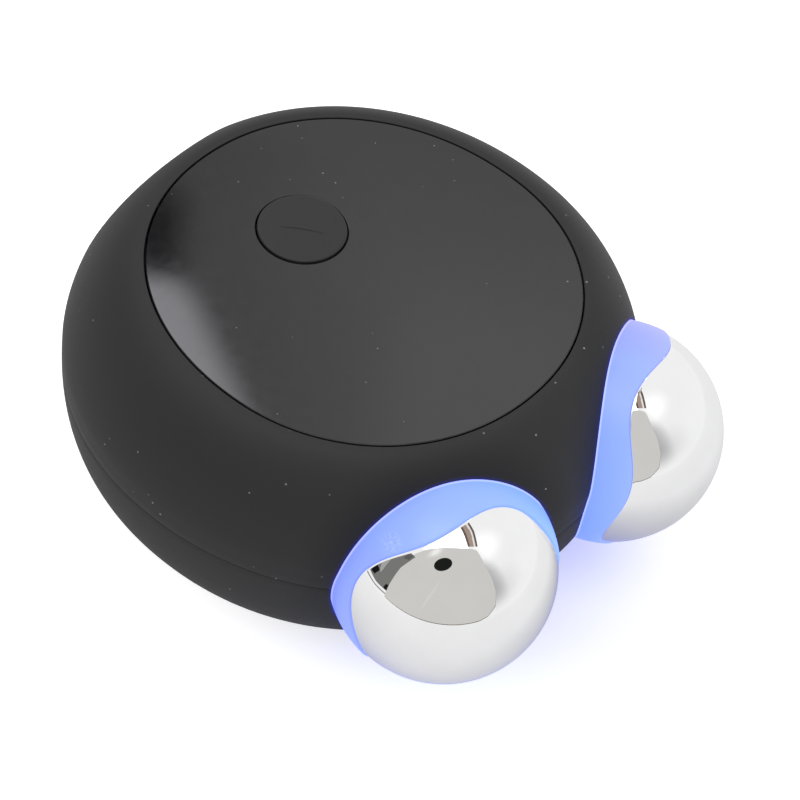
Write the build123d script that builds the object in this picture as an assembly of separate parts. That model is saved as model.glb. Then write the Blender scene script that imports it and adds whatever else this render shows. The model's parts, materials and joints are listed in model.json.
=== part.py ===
from build123d import *

import math
import os

# A palm-sized facial toning device: a pebble-shaped housing in two shells, a round glossy panel with
# one push button, and two chrome electrode balls in translucent light collars with wavy front edges.
# Frame, in millimetres: +Z up, the origin at the centre of the flat base, the balls towards -Y.

# ---------------------------------------------------------------- driving dimensions
# housing form
THICKNESS = 31.2          # base to panel
SHOULDER_HEIGHT = 11.8    # widest level up to the panel
WAIST_HALF_WIDTH = 31.1
WAIST_REAR = 30.75
WAIST_FRONT = 31.5
WAIST_POWER = 2.06        # superellipse power of the widest outline
SHOULDER_POWER = 1.59     # superellipse power of the shoulder's profile
BELLY_POWER = 2.44        # the same for the profile below the waist
FOOT_HALF_WIDTH = 13.9    # flat base
FOOT_LENGTH = 27.4
REAR_FLAT = 28.5          # flat rear face, for the charging socket, at the widest level
REAR_LEAN = 11.8          # how far the rear face's top leans towards the balls, degrees
WALL = 2.2
BASE_WALL = 2.4
PLATE_WALL = 1.8          # shell plate under the panel
SEAM_DROP = 14.4          # panel down to the parting line and to the balls' centres
SEAM_GAP = 0.12

# panel and its adhesive
PANEL_HALF_WIDTH = 22.6
PANEL_REAR = 23.2
PANEL_FRONT = 23.55
PANEL_SHIFT = -1.3        # how far the panel's widest line lies towards the balls
PANEL_POWER = 2.08
PANEL_THICKNESS = 1.6
PANEL_GROOVE = 0.16
PANEL_RIM = 0.58          # flat rim of the housing outside the groove
PANEL_EDGE_BREAK = 0.1
ADHESIVE_THICKNESS = 0.2
ADHESIVE_MARGIN = 1.2

# tongue and seal in the parting line
TONGUE_THICKNESS = 1.0
TONGUE_HEIGHT = 1.0
SEAL_THICKNESS = 0.8
FIT_GAP = 0.1             # between pieces that slide together at assembly

# electrode balls and light collars
BALL_RADIUS = 12.0
BALL_SPREAD = 13.85       # centre plane to a ball's centre
BALL_REACH = 26.1         # how far the balls' centres lie in front of the origin
CAP_WALL = 1.2
CAP_STEP = 4.5            # where the ball's wall drops to the neck's
NECK_WALL = 1.0
NECK_DEPTH = 3.4          # ball's centre back to the open rim
COLLAR_PROUD = 0.2        # collar above the ball
COLLAR_WALL = 1.1
COLLAR_DEPTH = 8.6        # ball's centre back to the collar's back face
COLLAR_FLOOR = 1.4
WAVE_ANGLE = 76.0         # mean angle of the wavy edge from the ball's axis, degrees
WAVE_SWING = 5.0
WAVE_LOBES = 4
WAVE_TURN = 24.6
WAVE_TILT = 1.6
WAVE_TILT_TURN = 140.0
WAVE_GAP = 0.08
WAVE_POINTS = 32
KNIFE_INNER = 0.7         # the cutting surface's rims, as shares of the ball's radius
KNIFE_OUTER = 1.3
SEAT_WALL = 2.1           # housing material round a collar
SEAT_GAP = 0.12
SEAT_DEPTH = 7.0          # ball's centre back to the end of the housing's seat
FLANGE_RADIUS = 12.8
FLANGE_THICKNESS = 1.0
FLANGE_DEPTH = 4.7        # ball's centre back to the flange's middle
FLANGE_FLAT = 0.75        # flange's flat side, off the device's centre plane

# pieces inside a collar
PLATE_THICKNESS = 1.2
PLATE_SEAT_WALL = 0.75    # neck wall left round the back plate
PLATE_BOSS_RADIUS = 2.6
PLATE_BOSS_HEIGHT = 4.0
GASKET_THICKNESS = 0.5
GASKET_WIDTH = 1.4
LED_BOARD_THICKNESS = 0.8
LED_BOARD_DEPTH = 6.0     # ball's centre back to the board's rear face
LED_SIZE = 1.6
LED_HEIGHT = 0.7
LED_COUNT = 8
LED_CIRCLE = 7.2
POST_RADIUS = 3.0
LEDGE_RADIUS = 4.6
ELECTRODE_SCREW_RADIUS = 1.2
ELECTRODE_SCREW_BITE = 3.2
SCREW_CLEARANCE = 0.05
SCREW_HEAD_RADIUS = 2.2
SCREW_HEAD_HEIGHT = 1.2
SCREW_END_GAP = 1.0       # hole left beyond a screw's tip
CROSS_WIDTH = 0.5         # cross slot in a screw's head
CROSS_SPAN = 1.3          # its length over the head's radius
CONTACT_THICKNESS = 0.3
CONTACT_RADIUS = 2.6
CONTACT_WIDTH = 2.0
CONTACT_FOOT = 3.6
LED_LEAD_X = 3.4
LED_LEAD_RISE = 4.2
LED_LEAD_TURN = 3.0       # behind the collar's back face

# button
BUTTON_RADIUS = 4.86
BUTTON_PLACE = 8.7        # behind the origin
BUTTON_PROUD = 0.25
BUTTON_GAP = 0.14
BUTTON_EDGE_BREAK = 0.12
BUTTON_TRAVEL = 0.35
BUTTON_FLANGE_RADIUS = 5.8
BUTTON_FLANGE_THICKNESS = 0.6
BUTTON_FLANGE_PLAY = 0.05
BUTTON_WELL_RADIUS = 6.3
BUTTON_WELL_DEPTH = 1.4   # below the panel's recess
STEM_RADIUS = 1.6
STEM_PLAY = 0.06
GUIDE_RADIUS = 3.0
GUIDE_DEPTH = 0.8         # below the shell plate
BUTTON_GASKET_THICKNESS = 0.3
RIDGE_LENGTH = 5.0
RIDGE_WIDTH = 0.25
RIDGE_HEIGHT = 0.06
RIDGE_RADIUS = 12.0
RIDGE_TURN = 43.0

# main board and what it carries
BOARD_THICKNESS = 1.0
BOARD_HALF_WIDTH = 16.3
BOARD_REAR = 25.0
BOARD_DROP = 8.9          # panel down to the board's underside
BOARD_CORNER = 8.0
BOARD_SETBACK = 0.8       # behind the collars' back faces
BOARD_BOSS_RADIUS = 2.2
BOARD_BOSS_X = 13.2
BOARD_BOSS_REAR = 18.5
BOARD_BOSS_FRONT = -9.0
BOARD_SCREW_RADIUS = 0.95
BOARD_SCREW_BITE = 3.0
BOARD_SCREW_HEAD = 1.8
BOARD_SCREW_HEAD_HEIGHT = 1.2
SWITCH_SIZE = 4.5
SWITCH_HEIGHT = 2.2
PLUNGER_RADIUS = 1.2
PLUNGER_PLAY = 0.06
PLUNGER_SINK = 0.7        # how deep the plunger sits in the switch at rest
PLUNGER_PROUD = 0.6
CHIP_SIZE = 6.0
CHIP_HEIGHT = 0.9
CHIP_PLACE = -6.0
CHARGER_SIZE = 4.0
CHARGER_X = 4.0
COIL_SIZE = 4.9
COIL_HEIGHT = 2.8
CONNECTOR_WIDTH = 6.0
CONNECTOR_LENGTH = 4.6
CONNECTOR_HEIGHT = 3.0
CONNECTOR_X = 8.0
CONNECTOR_Y = 12.8

# charging socket
SOCKET_WIDTH = 8.94
SOCKET_HEIGHT = 3.26
SOCKET_LENGTH = 6.9
SOCKET_SHEET = 0.3
SOCKET_RECESS = 0.3       # inside the rear face
SOCKET_HOLE_GAP = 0.18
TONGUE_WIDTH = 6.69
TONGUE_SHEET = 0.7
TONGUE_LENGTH = 5.2
TONGUE_FOOT = 1.0

# battery
BATTERY_WIDTH = 30.0
BATTERY_LENGTH = 24.0
BATTERY_THICKNESS = 7.5
BATTERY_CORNER = 1.5
BATTERY_PLACE = 4.0
PAD_THICKNESS = 1.0
CRADLE_WALL = 1.0
CRADLE_HEIGHT = 2.8
CRADLE_GAP = 0.25
LEAD_RADIUS = 0.45
LEAD_PITCH = 1.8
LEAD_REACH = 3.4          # how far the battery's leads lie behind it
BEND_SHARE = 0.45         # most of a straight run that one bend may take

# vibration motor, its axis along X
MOTOR_RADIUS = 3.5
MOTOR_LENGTH = 12.0
MOTOR_START = -7.5
MOTOR_PLACE = -13.6
SLEEVE_WALL = 0.8
SLEEVE_LENGTH = 9.0
SHAFT_RADIUS = 0.5
SHAFT_PLAY = 0.04
SHAFT_REACH = 5.0
SHAFT_BEARING = 9.0
SHAFT_END_GAP = 0.2
WEIGHT_RADIUS = 2.9
WEIGHT_LENGTH = 4.0
WEIGHT_HUB_RADIUS = 1.1
WEIGHT_GAP = 0.6
SADDLE_WALL = 1.2
MOTOR_LEAD_RISE = 2.6

# housing screws and their bosses
SCREW_RADIUS = 1.0
SCREW_BITE = 6.0
HOUSING_HEAD_RADIUS = 1.9
HOUSING_HEAD_HEIGHT = 1.3
BOSS_RADIUS = 2.4
BOSS_X = 19.3
BOSS_REAR = 6.5
BOSS_FRONT = -8.0

# ---------------------------------------------------------------- levels and places worked out from them
WAIST_LEVEL = THICKNESS - SHOULDER_HEIGHT
SEAM_HEIGHT = THICKNESS - SEAM_DROP
BOARD_UNDERSIDE = THICKNESS - BOARD_DROP
RECESS_FLOOR = THICKNESS - PANEL_THICKNESS - ADHESIVE_THICKNESS
PLATE_UNDERSIDE = RECESS_FLOOR - PLATE_WALL
BOARD_TOP = BOARD_UNDERSIDE + BOARD_THICKNESS
POCKET_RADIUS = BALL_RADIUS + COLLAR_PROUD + SEAT_GAP
SEAT_RADIUS = POCKET_RADIUS + SEAT_WALL
COLLAR_RADIUS = BALL_RADIUS + COLLAR_PROUD
COLLAR_BORE = COLLAR_RADIUS - COLLAR_WALL
NECK_RADIUS = COLLAR_BORE - FIT_GAP
BALL_TURN = math.atan2(BALL_SPREAD, BALL_REACH)   # the balls point straight away from the origin
OUTWARD = Vector(math.sin(BALL_TURN), -math.cos(BALL_TURN), 0)
ALONG = Vector(math.cos(BALL_TURN), math.sin(BALL_TURN), 0)
BALL_CENTRE = Vector(BALL_SPREAD, -BALL_REACH, SEAM_HEIGHT)
BALL_FRAME = Plane(origin=BALL_CENTRE, x_dir=ALONG, z_dir=OUTWARD)
BATTERY_LEVEL = BASE_WALL + PAD_THICKNESS
MOTOR_LEVEL = BASE_WALL + SADDLE_WALL + SLEEVE_WALL + MOTOR_RADIUS
BIG = 200.0               # larger than the whole device
CUT = 1.0                 # how far a cutting piece runs past a face
OVERLAP = 0.2             # how far two joined pieces run into each other
POINTS_ROUND = 24
PROFILE_STEPS = 6


# ---------------------------------------------------------------- helpers
def outline(half_width, rear, front, power, shift=0.0, grow=0.0):
    """Points of a superellipse whose rear and front halves differ; grow moves it outwards."""
    points = []
    for index in range(POINTS_ROUND):
        turn = 2 * math.pi * (index + 0.5) / POINTS_ROUND
        across, along = math.cos(turn), math.sin(turn)
        reach = rear - shift if along >= 0 else front + shift
        size_x = abs(across / (half_width + grow)) ** power
        size_y = abs(along / (reach + grow)) ** power
        radius = (size_x + size_y) ** (-1 / power)
        points.append((radius * across, radius * along + shift))
    return points


def waist_outline(grow=0.0):
    return outline(WAIST_HALF_WIDTH, WAIST_REAR, WAIST_FRONT, WAIST_POWER, grow=grow)


def panel_outline(grow=0.0):
    return outline(PANEL_HALF_WIDTH, PANEL_REAR, PANEL_FRONT, PANEL_POWER, PANEL_SHIFT, grow)


def crown_outline(grow=0.0):
    """Edge of the housing's flat top."""
    return panel_outline(PANEL_GROOVE + PANEL_RIM + grow)


def foot_outline(grow=0.0):
    return outline(FOOT_HALF_WIDTH, FOOT_LENGTH / 2, FOOT_LENGTH / 2, WAIST_POWER, grow=grow)


def ring(points, level):
    """Closed smooth wire through the points at one level."""
    return Wire([Spline(*[(x, y, level) for x, y in points], periodic=True).edge()])


def prism(points, low, high):
    return extrude(Face(ring(points, low)), amount=high - low, dir=(0, 0, 1))


def blend_points(start, end, share):
    return [(a[0] + (b[0] - a[0]) * share, a[1] + (b[1] - a[1]) * share) for a, b in zip(start, end)]


def pebble(side=0.0, top=0.0, base=0.0):
    """The housing's form, drawn in by a side wall, a top wall and a base wall."""
    waist, crown, foot = waist_outline(-side), crown_outline(-side), foot_outline(-side)
    rings = []
    for step in range(PROFILE_STEPS):
        turn = math.pi / 2 * (1 - step / PROFILE_STEPS)
        drop = (WAIST_LEVEL - base) * math.sin(turn) ** (2 / BELLY_POWER)
        share = math.cos(turn) ** (2 / BELLY_POWER) if step else 0.0
        rings.append(ring(blend_points(foot, waist, share), WAIST_LEVEL - drop))
    for step in range(PROFILE_STEPS + 1):
        turn = math.pi / 2 * (1 - step / PROFILE_STEPS)
        rise = (SHOULDER_HEIGHT - top) * (math.cos(turn) ** (2 / SHOULDER_POWER) if step else 0.0)
        share = math.sin(turn) ** (2 / SHOULDER_POWER) if step < PROFILE_STEPS else 0.0
        rings.append(ring(blend_points(crown, waist, share), WAIST_LEVEL + rise))
    return Solid.make_loft(rings)


def post(x, y, low, high, radius):
    """Upright cylinder between two levels."""
    return Pos(x, y, (low + high) / 2) * Cylinder(radius, high - low)


def block(x, y, low, high, width, length):
    """Upright box between two levels, centred on x and y."""
    return Pos(x, y, (low + high) / 2) * Box(width, length, high - low)


def disc(low, high, radius, bore=0.0):
    """Disc or ring on the local axis."""
    piece = post(0, 0, low, high, radius)
    return piece - post(0, 0, low - CUT, high + CUT, bore) if bore else piece


def lying_rod(start, end, radius, y, level):
    """Cylinder along X."""
    return Pos((start + end) / 2, y, level) * Rot(0, 90, 0) * Cylinder(radius, end - start)


def cross_slot(x, y, face, head_height, head_radius):
    """Cross cut half-way into a screw's head, from the level of its outer face."""
    low, high = face - head_height / 2, face + head_height / 2
    across = block(x, y, low, high, CROSS_SPAN * head_radius, CROSS_WIDTH)
    return across + block(x, y, low, high, CROSS_WIDTH, CROSS_SPAN * head_radius)


def lead(points, radius=LEAD_RADIUS):
    """Insulated wire along straight runs joined by arcs as large as the runs allow."""
    runs = [(Vector(*b) - Vector(*a)).length for a, b in zip(points, points[1:])]
    bends = []
    for index in range(1, len(points) - 1):
        before = Vector(*points[index]) - Vector(*points[index - 1])
        after = Vector(*points[index + 1]) - Vector(*points[index])
        half_turn = math.radians(before.get_angle(after)) / 2
        bends.append(BEND_SHARE * min(runs[index - 1], runs[index]) / math.tan(half_turn))
    path = FilletPolyline(*points, radius=bends)
    direction = Vector(*points[1]) - Vector(*points[0])
    start = Plane(origin=points[0], z_dir=direction)
    return sweep(start * Circle(radius), path=path)


def on_ball(piece):
    """Move a piece from the right ball's own frame, where +Z is the ball's axis, to its place."""
    return BALL_FRAME.location * piece


def mirrored(piece):
    return mirror(piece, about=Plane.YZ)


def both_sides(piece):
    return [piece, mirrored(piece)]


def merge(pieces):
    """Group separate solids in one node."""
    return Compound(children=[solid for piece in pieces for solid in piece.solids()])


# ---------------------------------------------------------------- collars and electrodes, in a ball's frame
def wave_point(radius, turn, ease):
    """Point on the wavy edge: a cone about the ball's axis that opens and closes in lobes."""
    angle = WAVE_ANGLE + WAVE_SWING * math.cos(math.radians(WAVE_LOBES * (turn - WAVE_TURN)))
    angle += WAVE_TILT * math.cos(math.radians(turn - WAVE_TILT_TURN))
    angle = math.radians(angle) + ease / BALL_RADIUS
    turn = math.radians(turn)
    across = radius * math.sin(angle)
    return (across * math.cos(turn), across * math.sin(turn), radius * math.cos(angle))


def wave_cut(piece, ease, front):
    """The part of a piece in front of the wavy edge, or behind it."""
    turns = [360 * index / WAVE_POINTS for index in range(WAVE_POINTS)]
    inner = Spline(*[wave_point(BALL_RADIUS * KNIFE_INNER, turn, ease) for turn in turns], periodic=True)
    outer = Spline(*[wave_point(BALL_RADIUS * KNIFE_OUTER, turn, ease) for turn in turns], periodic=True)
    knife = Face.make_surface_from_curves(inner.edge(), outer.edge())
    halves = piece.solid().split(knife, keep=Keep.ALL)
    halves = sorted(halves, key=lambda half: half.center().Z)
    return Part() + (halves[-1] if front else halves[0])


def above(depth):
    """Everything in front of a plane across the ball's axis."""
    return disc(-depth, BIG, BIG)


def electrode():
    """Chromed shell: a ball in front of the wavy edge, a thinner neck behind it, open at the back."""
    skin = Sphere(BALL_RADIUS) - Sphere(NECK_RADIUS - NECK_WALL / 2)
    cap = wave_cut(skin, -WAVE_GAP, True)
    neck = Sphere(NECK_RADIUS) & above(NECK_DEPTH)
    hollow = Sphere(NECK_RADIUS - NECK_WALL)
    hollow += Sphere(BALL_RADIUS - CAP_WALL) & above(-CAP_STEP)
    seat = disc(-NECK_DEPTH - CUT, PLATE_THICKNESS - NECK_DEPTH, plate_radius() + SCREW_CLEARANCE)
    return cap + neck - hollow - seat


def plate_radius():
    """Back plate's radius: what the neck leaves at its rim."""
    return math.sqrt(NECK_RADIUS ** 2 - NECK_DEPTH ** 2) - PLATE_SEAT_WALL - SCREW_CLEARANCE


def electrode_plate():
    """Back plate with the threaded boss that the screw pulls on."""
    plate = disc(-NECK_DEPTH, PLATE_THICKNESS - NECK_DEPTH, plate_radius())
    boss = disc(-NECK_DEPTH, PLATE_THICKNESS - NECK_DEPTH + PLATE_BOSS_HEIGHT, PLATE_BOSS_RADIUS)
    return plate + boss - disc(-BIG, BIG, ELECTRODE_SCREW_RADIUS + SCREW_CLEARANCE)


def gasket_radius():
    depth = NECK_DEPTH + GASKET_THICKNESS
    return math.sqrt(COLLAR_BORE ** 2 - depth ** 2) - FIT_GAP


def collar_well():
    """Radius of the straight bore behind the gasket's ledge."""
    return gasket_radius() - GASKET_WIDTH


def electrode_gasket():
    return disc(-NECK_DEPTH - GASKET_THICKNESS, -NECK_DEPTH, gasket_radius(), collar_well())


def collar_cup():
    """Light collar: a translucent cup round the ball's neck, with its wavy edge in front."""
    floor_level = COLLAR_FLOOR - COLLAR_DEPTH
    cup = Sphere(COLLAR_RADIUS) - (Sphere(COLLAR_BORE) & above(NECK_DEPTH + GASKET_THICKNESS))
    cup = wave_cut(cup, 0, False) & above(COLLAR_DEPTH)
    cup -= disc(floor_level, 0, collar_well())
    cup += disc(floor_level - OVERLAP, -LED_BOARD_DEPTH, LEDGE_RADIUS)
    cup += disc(floor_level - OVERLAP, -NECK_DEPTH, POST_RADIUS)
    cup -= disc(-BIG, BIG, ELECTRODE_SCREW_RADIUS + SCREW_CLEARANCE + FIT_GAP)
    for x in (-1, 1):
        cup -= post(x * LED_LEAD_X, LED_LEAD_RISE, -BIG, -LED_BOARD_DEPTH, LEAD_RADIUS + FIT_GAP)
    return cup


def collar_flange(extra=0.0):
    """Flange that the two shells hold between them, or the groove for it."""
    half = FLANGE_THICKNESS / 2 + extra
    ring_piece = on_ball(disc(-FLANGE_DEPTH - half, -FLANGE_DEPTH + half, FLANGE_RADIUS + extra))
    side = FLANGE_FLAT - extra
    return ring_piece & Pos(side + BIG / 2, 0, 0) * Box(BIG, BIG, BIG)


def collar():
    """Cup and flange in one piece, in place on the right."""
    inside = on_ball(disc(-COLLAR_DEPTH - CUT, 0, collar_well() + COLLAR_WALL / 2))
    return on_ball(collar_cup()) + (collar_flange() - inside)


def led_board():
    return disc(-LED_BOARD_DEPTH, LED_BOARD_THICKNESS - LED_BOARD_DEPTH,
                collar_well() - FIT_GAP, POST_RADIUS + FIT_GAP)


def led_places():
    """Places of the LEDs, evenly round the board."""
    for index in range(LED_COUNT):
        turn = 360 * (index + 0.5) / LED_COUNT
        yield Rot(0, 0, turn) * Pos(LED_CIRCLE, 0, LED_BOARD_THICKNESS - LED_BOARD_DEPTH)


def leds():
    chip = Pos(0, 0, LED_HEIGHT / 2) * Box(LED_SIZE, LED_SIZE, LED_HEIGHT)
    return [on_ball(place * chip) for place in led_places()]


def electrode_screw():
    back = -COLLAR_DEPTH - CONTACT_THICKNESS
    tip = PLATE_THICKNESS - NECK_DEPTH + ELECTRODE_SCREW_BITE
    screw = disc(back, tip, ELECTRODE_SCREW_RADIUS)
    head = disc(back - SCREW_HEAD_HEIGHT, back, SCREW_HEAD_RADIUS)
    return screw + head - cross_slot(0, 0, back - SCREW_HEAD_HEIGHT, SCREW_HEAD_HEIGHT, SCREW_HEAD_RADIUS)


def contact_strip():
    """Ring under the screw's head, a strip up from it and a foot under the main board."""
    back = -COLLAR_DEPTH - CONTACT_THICKNESS
    eye = disc(back, -COLLAR_DEPTH, CONTACT_RADIUS)
    top = BOARD_UNDERSIDE - SEAM_HEIGHT
    riser = Pos(0, top / 2, back + CONTACT_THICKNESS / 2) * Box(CONTACT_WIDTH, top, CONTACT_THICKNESS)
    middle = back + CONTACT_THICKNESS - CONTACT_FOOT / 2
    foot = Pos(0, top - CONTACT_THICKNESS / 2, middle) * Box(CONTACT_WIDTH, CONTACT_THICKNESS, CONTACT_FOOT)
    hole = disc(-BIG, BIG, ELECTRODE_SCREW_RADIUS + FIT_GAP)
    return eye + riser + foot - hole


def led_leads():
    """Two wires from the LED board, back through the collar and up to the main board."""
    turn_depth = COLLAR_DEPTH + LED_LEAD_TURN
    wires = []
    for side in (-1, 1):
        x = side * LED_LEAD_X
        route = [(x, LED_LEAD_RISE, -LED_BOARD_DEPTH), (x, LED_LEAD_RISE, -turn_depth),
                 (x, BOARD_UNDERSIDE - SEAM_HEIGHT, -turn_depth)]
        wires.append(on_ball(lead(route)))
    return wires


# ---------------------------------------------------------------- housing
def ball_rooms(radius):
    """Balls of one radius round both electrodes' centres."""
    return both_sides(on_ball(Sphere(radius)))


def seat_forms():
    """Housing material that stays round both collars."""
    return both_sides(on_ball(Sphere(SEAT_RADIUS) & above(SEAT_DEPTH)))


def boss_places():
    return [(side * BOSS_X, y) for side in (-1, 1) for y in (BOSS_FRONT, BOSS_REAR)]


def board_boss_places():
    return [(side * BOARD_BOSS_X, y) for side in (-1, 1) for y in (BOARD_BOSS_FRONT, BOARD_BOSS_REAR)]


def socket_level():
    return BOARD_UNDERSIDE - SOCKET_HEIGHT / 2


def socket_end():
    """The socket's open end, just inside the rear face at the socket's upper edge."""
    return rear_reach(BOARD_UNDERSIDE) - SOCKET_RECESS


def socket_slug(width, height, start, end):
    """Flat rod with round sides along Y: the socket's shape."""
    section = Plane(origin=(0, start, socket_level()), x_dir=(1, 0, 0), z_dir=(0, 1, 0))
    return extrude(section * SlotOverall(width, height), amount=end - start)


def rear_reach(level):
    """How far back the leaning rear face lies at a level."""
    return REAR_FLAT - (level - WAIST_LEVEL) * math.tan(math.radians(REAR_LEAN))


def before_rear(depth=0.0):
    """Everything in front of the leaning rear face, or of a plane at a depth inside it."""
    room = Pos(0, -depth - BIG / 2, 0) * Box(BIG, BIG, BIG)
    return Pos(0, REAR_FLAT, WAIST_LEVEL) * Rot(REAR_LEAN, 0, 0) * room


def waist_prism(depth, low, high):
    """Upright form with the waist's outline and the rear face, both drawn in."""
    return prism(waist_outline(-depth), low, high) & before_rear(depth)


def seam_band(inner, outer, low, high):
    """Band that follows the housing's side, between two distances in from it, open at the balls."""
    band = waist_prism(outer, low, high) - waist_prism(inner, low - CUT, high + CUT)
    for room in ball_rooms(SEAT_RADIUS):
        band -= room
    return max(band.solids(), key=lambda piece: piece.volume)


def shells():
    """The two shells of the housing, parted at the seam."""
    form = Part() + pebble()
    form &= before_rear()
    hollow = Part() + pebble(WALL, THICKNESS - PLATE_UNDERSIDE, BASE_WALL)
    hollow &= before_rear(WALL)
    for seat in seat_forms():
        hollow -= seat
    walls = form - hollow
    for room in ball_rooms(POCKET_RADIUS):
        walls -= room
    groove = collar_flange(FIT_GAP)
    walls -= groove
    walls -= mirrored(groove)
    walls -= socket_slug(SOCKET_WIDTH + 2 * SOCKET_HOLE_GAP, SOCKET_HEIGHT + 2 * SOCKET_HOLE_GAP,
                         socket_end() - SOCKET_LENGTH, REAR_FLAT + CUT)
    upper = walls & block(0, 0, SEAM_HEIGHT + SEAM_GAP / 2, THICKNESS + CUT, BIG, BIG)
    lower = walls & block(0, 0, -CUT, SEAM_HEIGHT - SEAM_GAP / 2, BIG, BIG)
    return finish_upper(upper), finish_lower(lower, form)


def finish_upper(shell):
    shell -= prism(panel_outline(PANEL_GROOVE), RECESS_FLOOR, THICKNESS + CUT)
    rebate_top = SEAM_HEIGHT + SEAM_GAP / 2 + TONGUE_HEIGHT + SEAL_THICKNESS
    shell -= seam_band(WALL + CUT, WALL - TONGUE_THICKNESS - FIT_GAP, SEAM_HEIGHT, rebate_top)
    for x, y in boss_places():
        shell += post(x, y, SEAM_HEIGHT + SEAM_GAP / 2, PLATE_UNDERSIDE, BOSS_RADIUS)
        shell -= post(x, y, 0, THICKNESS, SCREW_RADIUS + FIT_GAP)
        shell -= post(x, y, RECESS_FLOOR - HOUSING_HEAD_HEIGHT - FIT_GAP, THICKNESS,
                      HOUSING_HEAD_RADIUS + FIT_GAP)
    for x, y in board_boss_places():
        shell += post(x, y, BOARD_TOP, PLATE_UNDERSIDE, BOARD_BOSS_RADIUS)
        shell -= post(x, y, 0, BOARD_TOP + BOARD_SCREW_BITE, BOARD_SCREW_RADIUS + SCREW_CLEARANCE)
    well_floor = RECESS_FLOOR - BUTTON_WELL_DEPTH
    shell += post(0, BUTTON_PLACE, PLATE_UNDERSIDE - GUIDE_DEPTH, PLATE_UNDERSIDE, GUIDE_RADIUS)
    shell -= post(0, BUTTON_PLACE, well_floor, THICKNESS, BUTTON_WELL_RADIUS)
    shell -= post(0, BUTTON_PLACE, BOARD_TOP, THICKNESS, STEM_RADIUS + STEM_PLAY)
    return shell


def battery_frame(grow, low, high):
    return block(0, BATTERY_PLACE, low, high, BATTERY_WIDTH + 2 * grow, BATTERY_LENGTH + 2 * grow)


def finish_lower(shell, form):
    tongue_top = SEAM_HEIGHT + SEAM_GAP / 2 + TONGUE_HEIGHT
    root = SEAM_HEIGHT - SEAM_GAP / 2 - TONGUE_HEIGHT
    shell += seam_band(WALL, WALL - TONGUE_THICKNESS, root, tongue_top)
    inside = battery_frame(CRADLE_GAP + CRADLE_WALL, BASE_WALL / 2, BATTERY_LEVEL + CRADLE_HEIGHT)
    inside -= battery_frame(CRADLE_GAP, BASE_WALL, THICKNESS)
    for x, y in boss_places():
        inside += post(x, y, BASE_WALL / 2, SEAM_HEIGHT + SEAM_GAP / 2, BOSS_RADIUS)
    inside += motor_saddle()
    shell += inside & form
    shell -= battery_frame(CRADLE_GAP, BASE_WALL, BATTERY_LEVEL + CRADLE_HEIGHT)
    for x, y in boss_places():
        shell -= post(x, y, SEAM_HEIGHT - SCREW_BITE, THICKNESS, SCREW_RADIUS + SCREW_CLEARANCE)
    return shell


def motor_saddle():
    """Two upright ribs that hold the motor's rubber sleeve from below."""
    middle = MOTOR_START + MOTOR_LENGTH / 2
    saddle = None
    for side in (-1, 1):
        x = middle + side * (SLEEVE_LENGTH / 2 - SADDLE_WALL)
        rib = block(x, MOTOR_PLACE, BASE_WALL / 2, MOTOR_LEVEL, SADDLE_WALL,
                    2 * (MOTOR_RADIUS + SLEEVE_WALL + SADDLE_WALL))
        saddle = rib if saddle is None else saddle + rib
    return saddle - lying_rod(-BIG, BIG, MOTOR_RADIUS + SLEEVE_WALL, MOTOR_PLACE, MOTOR_LEVEL)


def seam_seal():
    low = SEAM_HEIGHT + SEAM_GAP / 2 + TONGUE_HEIGHT
    return seam_band(WALL, WALL - TONGUE_THICKNESS, low, low + SEAL_THICKNESS)


def housing_screws():
    top = RECESS_FLOOR
    screws = []
    for x, y in boss_places():
        head = post(x, y, top - HOUSING_HEAD_HEIGHT, top, HOUSING_HEAD_RADIUS)
        head -= cross_slot(x, y, top, HOUSING_HEAD_HEIGHT, HOUSING_HEAD_RADIUS)
        tip = SEAM_HEIGHT - SCREW_BITE + SCREW_END_GAP
        screws.append(head + post(x, y, tip, top - HOUSING_HEAD_HEIGHT, SCREW_RADIUS))
    return screws


# ---------------------------------------------------------------- panel and button
def top_panel():
    low = THICKNESS - PANEL_THICKNESS
    panel = prism(panel_outline(), low, THICKNESS)
    panel = chamfer(panel.edges().group_by(Axis.Z)[-1], PANEL_EDGE_BREAK)
    return panel - post(0, BUTTON_PLACE, low - CUT, THICKNESS + CUT, BUTTON_RADIUS + BUTTON_GAP)


def panel_adhesive():
    sheet = prism(panel_outline(-ADHESIVE_MARGIN), RECESS_FLOOR, RECESS_FLOOR + ADHESIVE_THICKNESS)
    return sheet - post(0, BUTTON_PLACE, 0, THICKNESS, BUTTON_WELL_RADIUS)


def button_levels():
    """Top of the cap, top of its flange, underside of its flange and end of its stem."""
    flange_top = THICKNESS - PANEL_THICKNESS - BUTTON_FLANGE_PLAY
    stem_end = BOARD_TOP + SWITCH_HEIGHT + PLUNGER_PROUD
    return THICKNESS + BUTTON_PROUD, flange_top, flange_top - BUTTON_FLANGE_THICKNESS, stem_end


def power_button():
    top, flange_top, flange_low, stem_end = button_levels()
    cap = post(0, BUTTON_PLACE, flange_low, top, BUTTON_RADIUS)
    cap = chamfer(cap.edges().group_by(Axis.Z)[-1], BUTTON_EDGE_BREAK)
    button = cap + post(0, BUTTON_PLACE, flange_low, flange_top, BUTTON_FLANGE_RADIUS)
    button += post(0, BUTTON_PLACE, stem_end, flange_low, STEM_RADIUS)
    return button + button_ridge(top)


def button_ridge(level):
    """Low curved ridge that a fingertip finds."""
    half = math.degrees(RIDGE_LENGTH / RIDGE_RADIUS) / 2
    arc = CenterArc((0, -RIDGE_RADIUS), RIDGE_RADIUS, 90 - half, 2 * half)
    strip = trace(arc, RIDGE_WIDTH)
    return Pos(0, BUTTON_PLACE, level) * Rot(0, 0, RIDGE_TURN) * extrude(strip, amount=RIDGE_HEIGHT)


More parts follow.
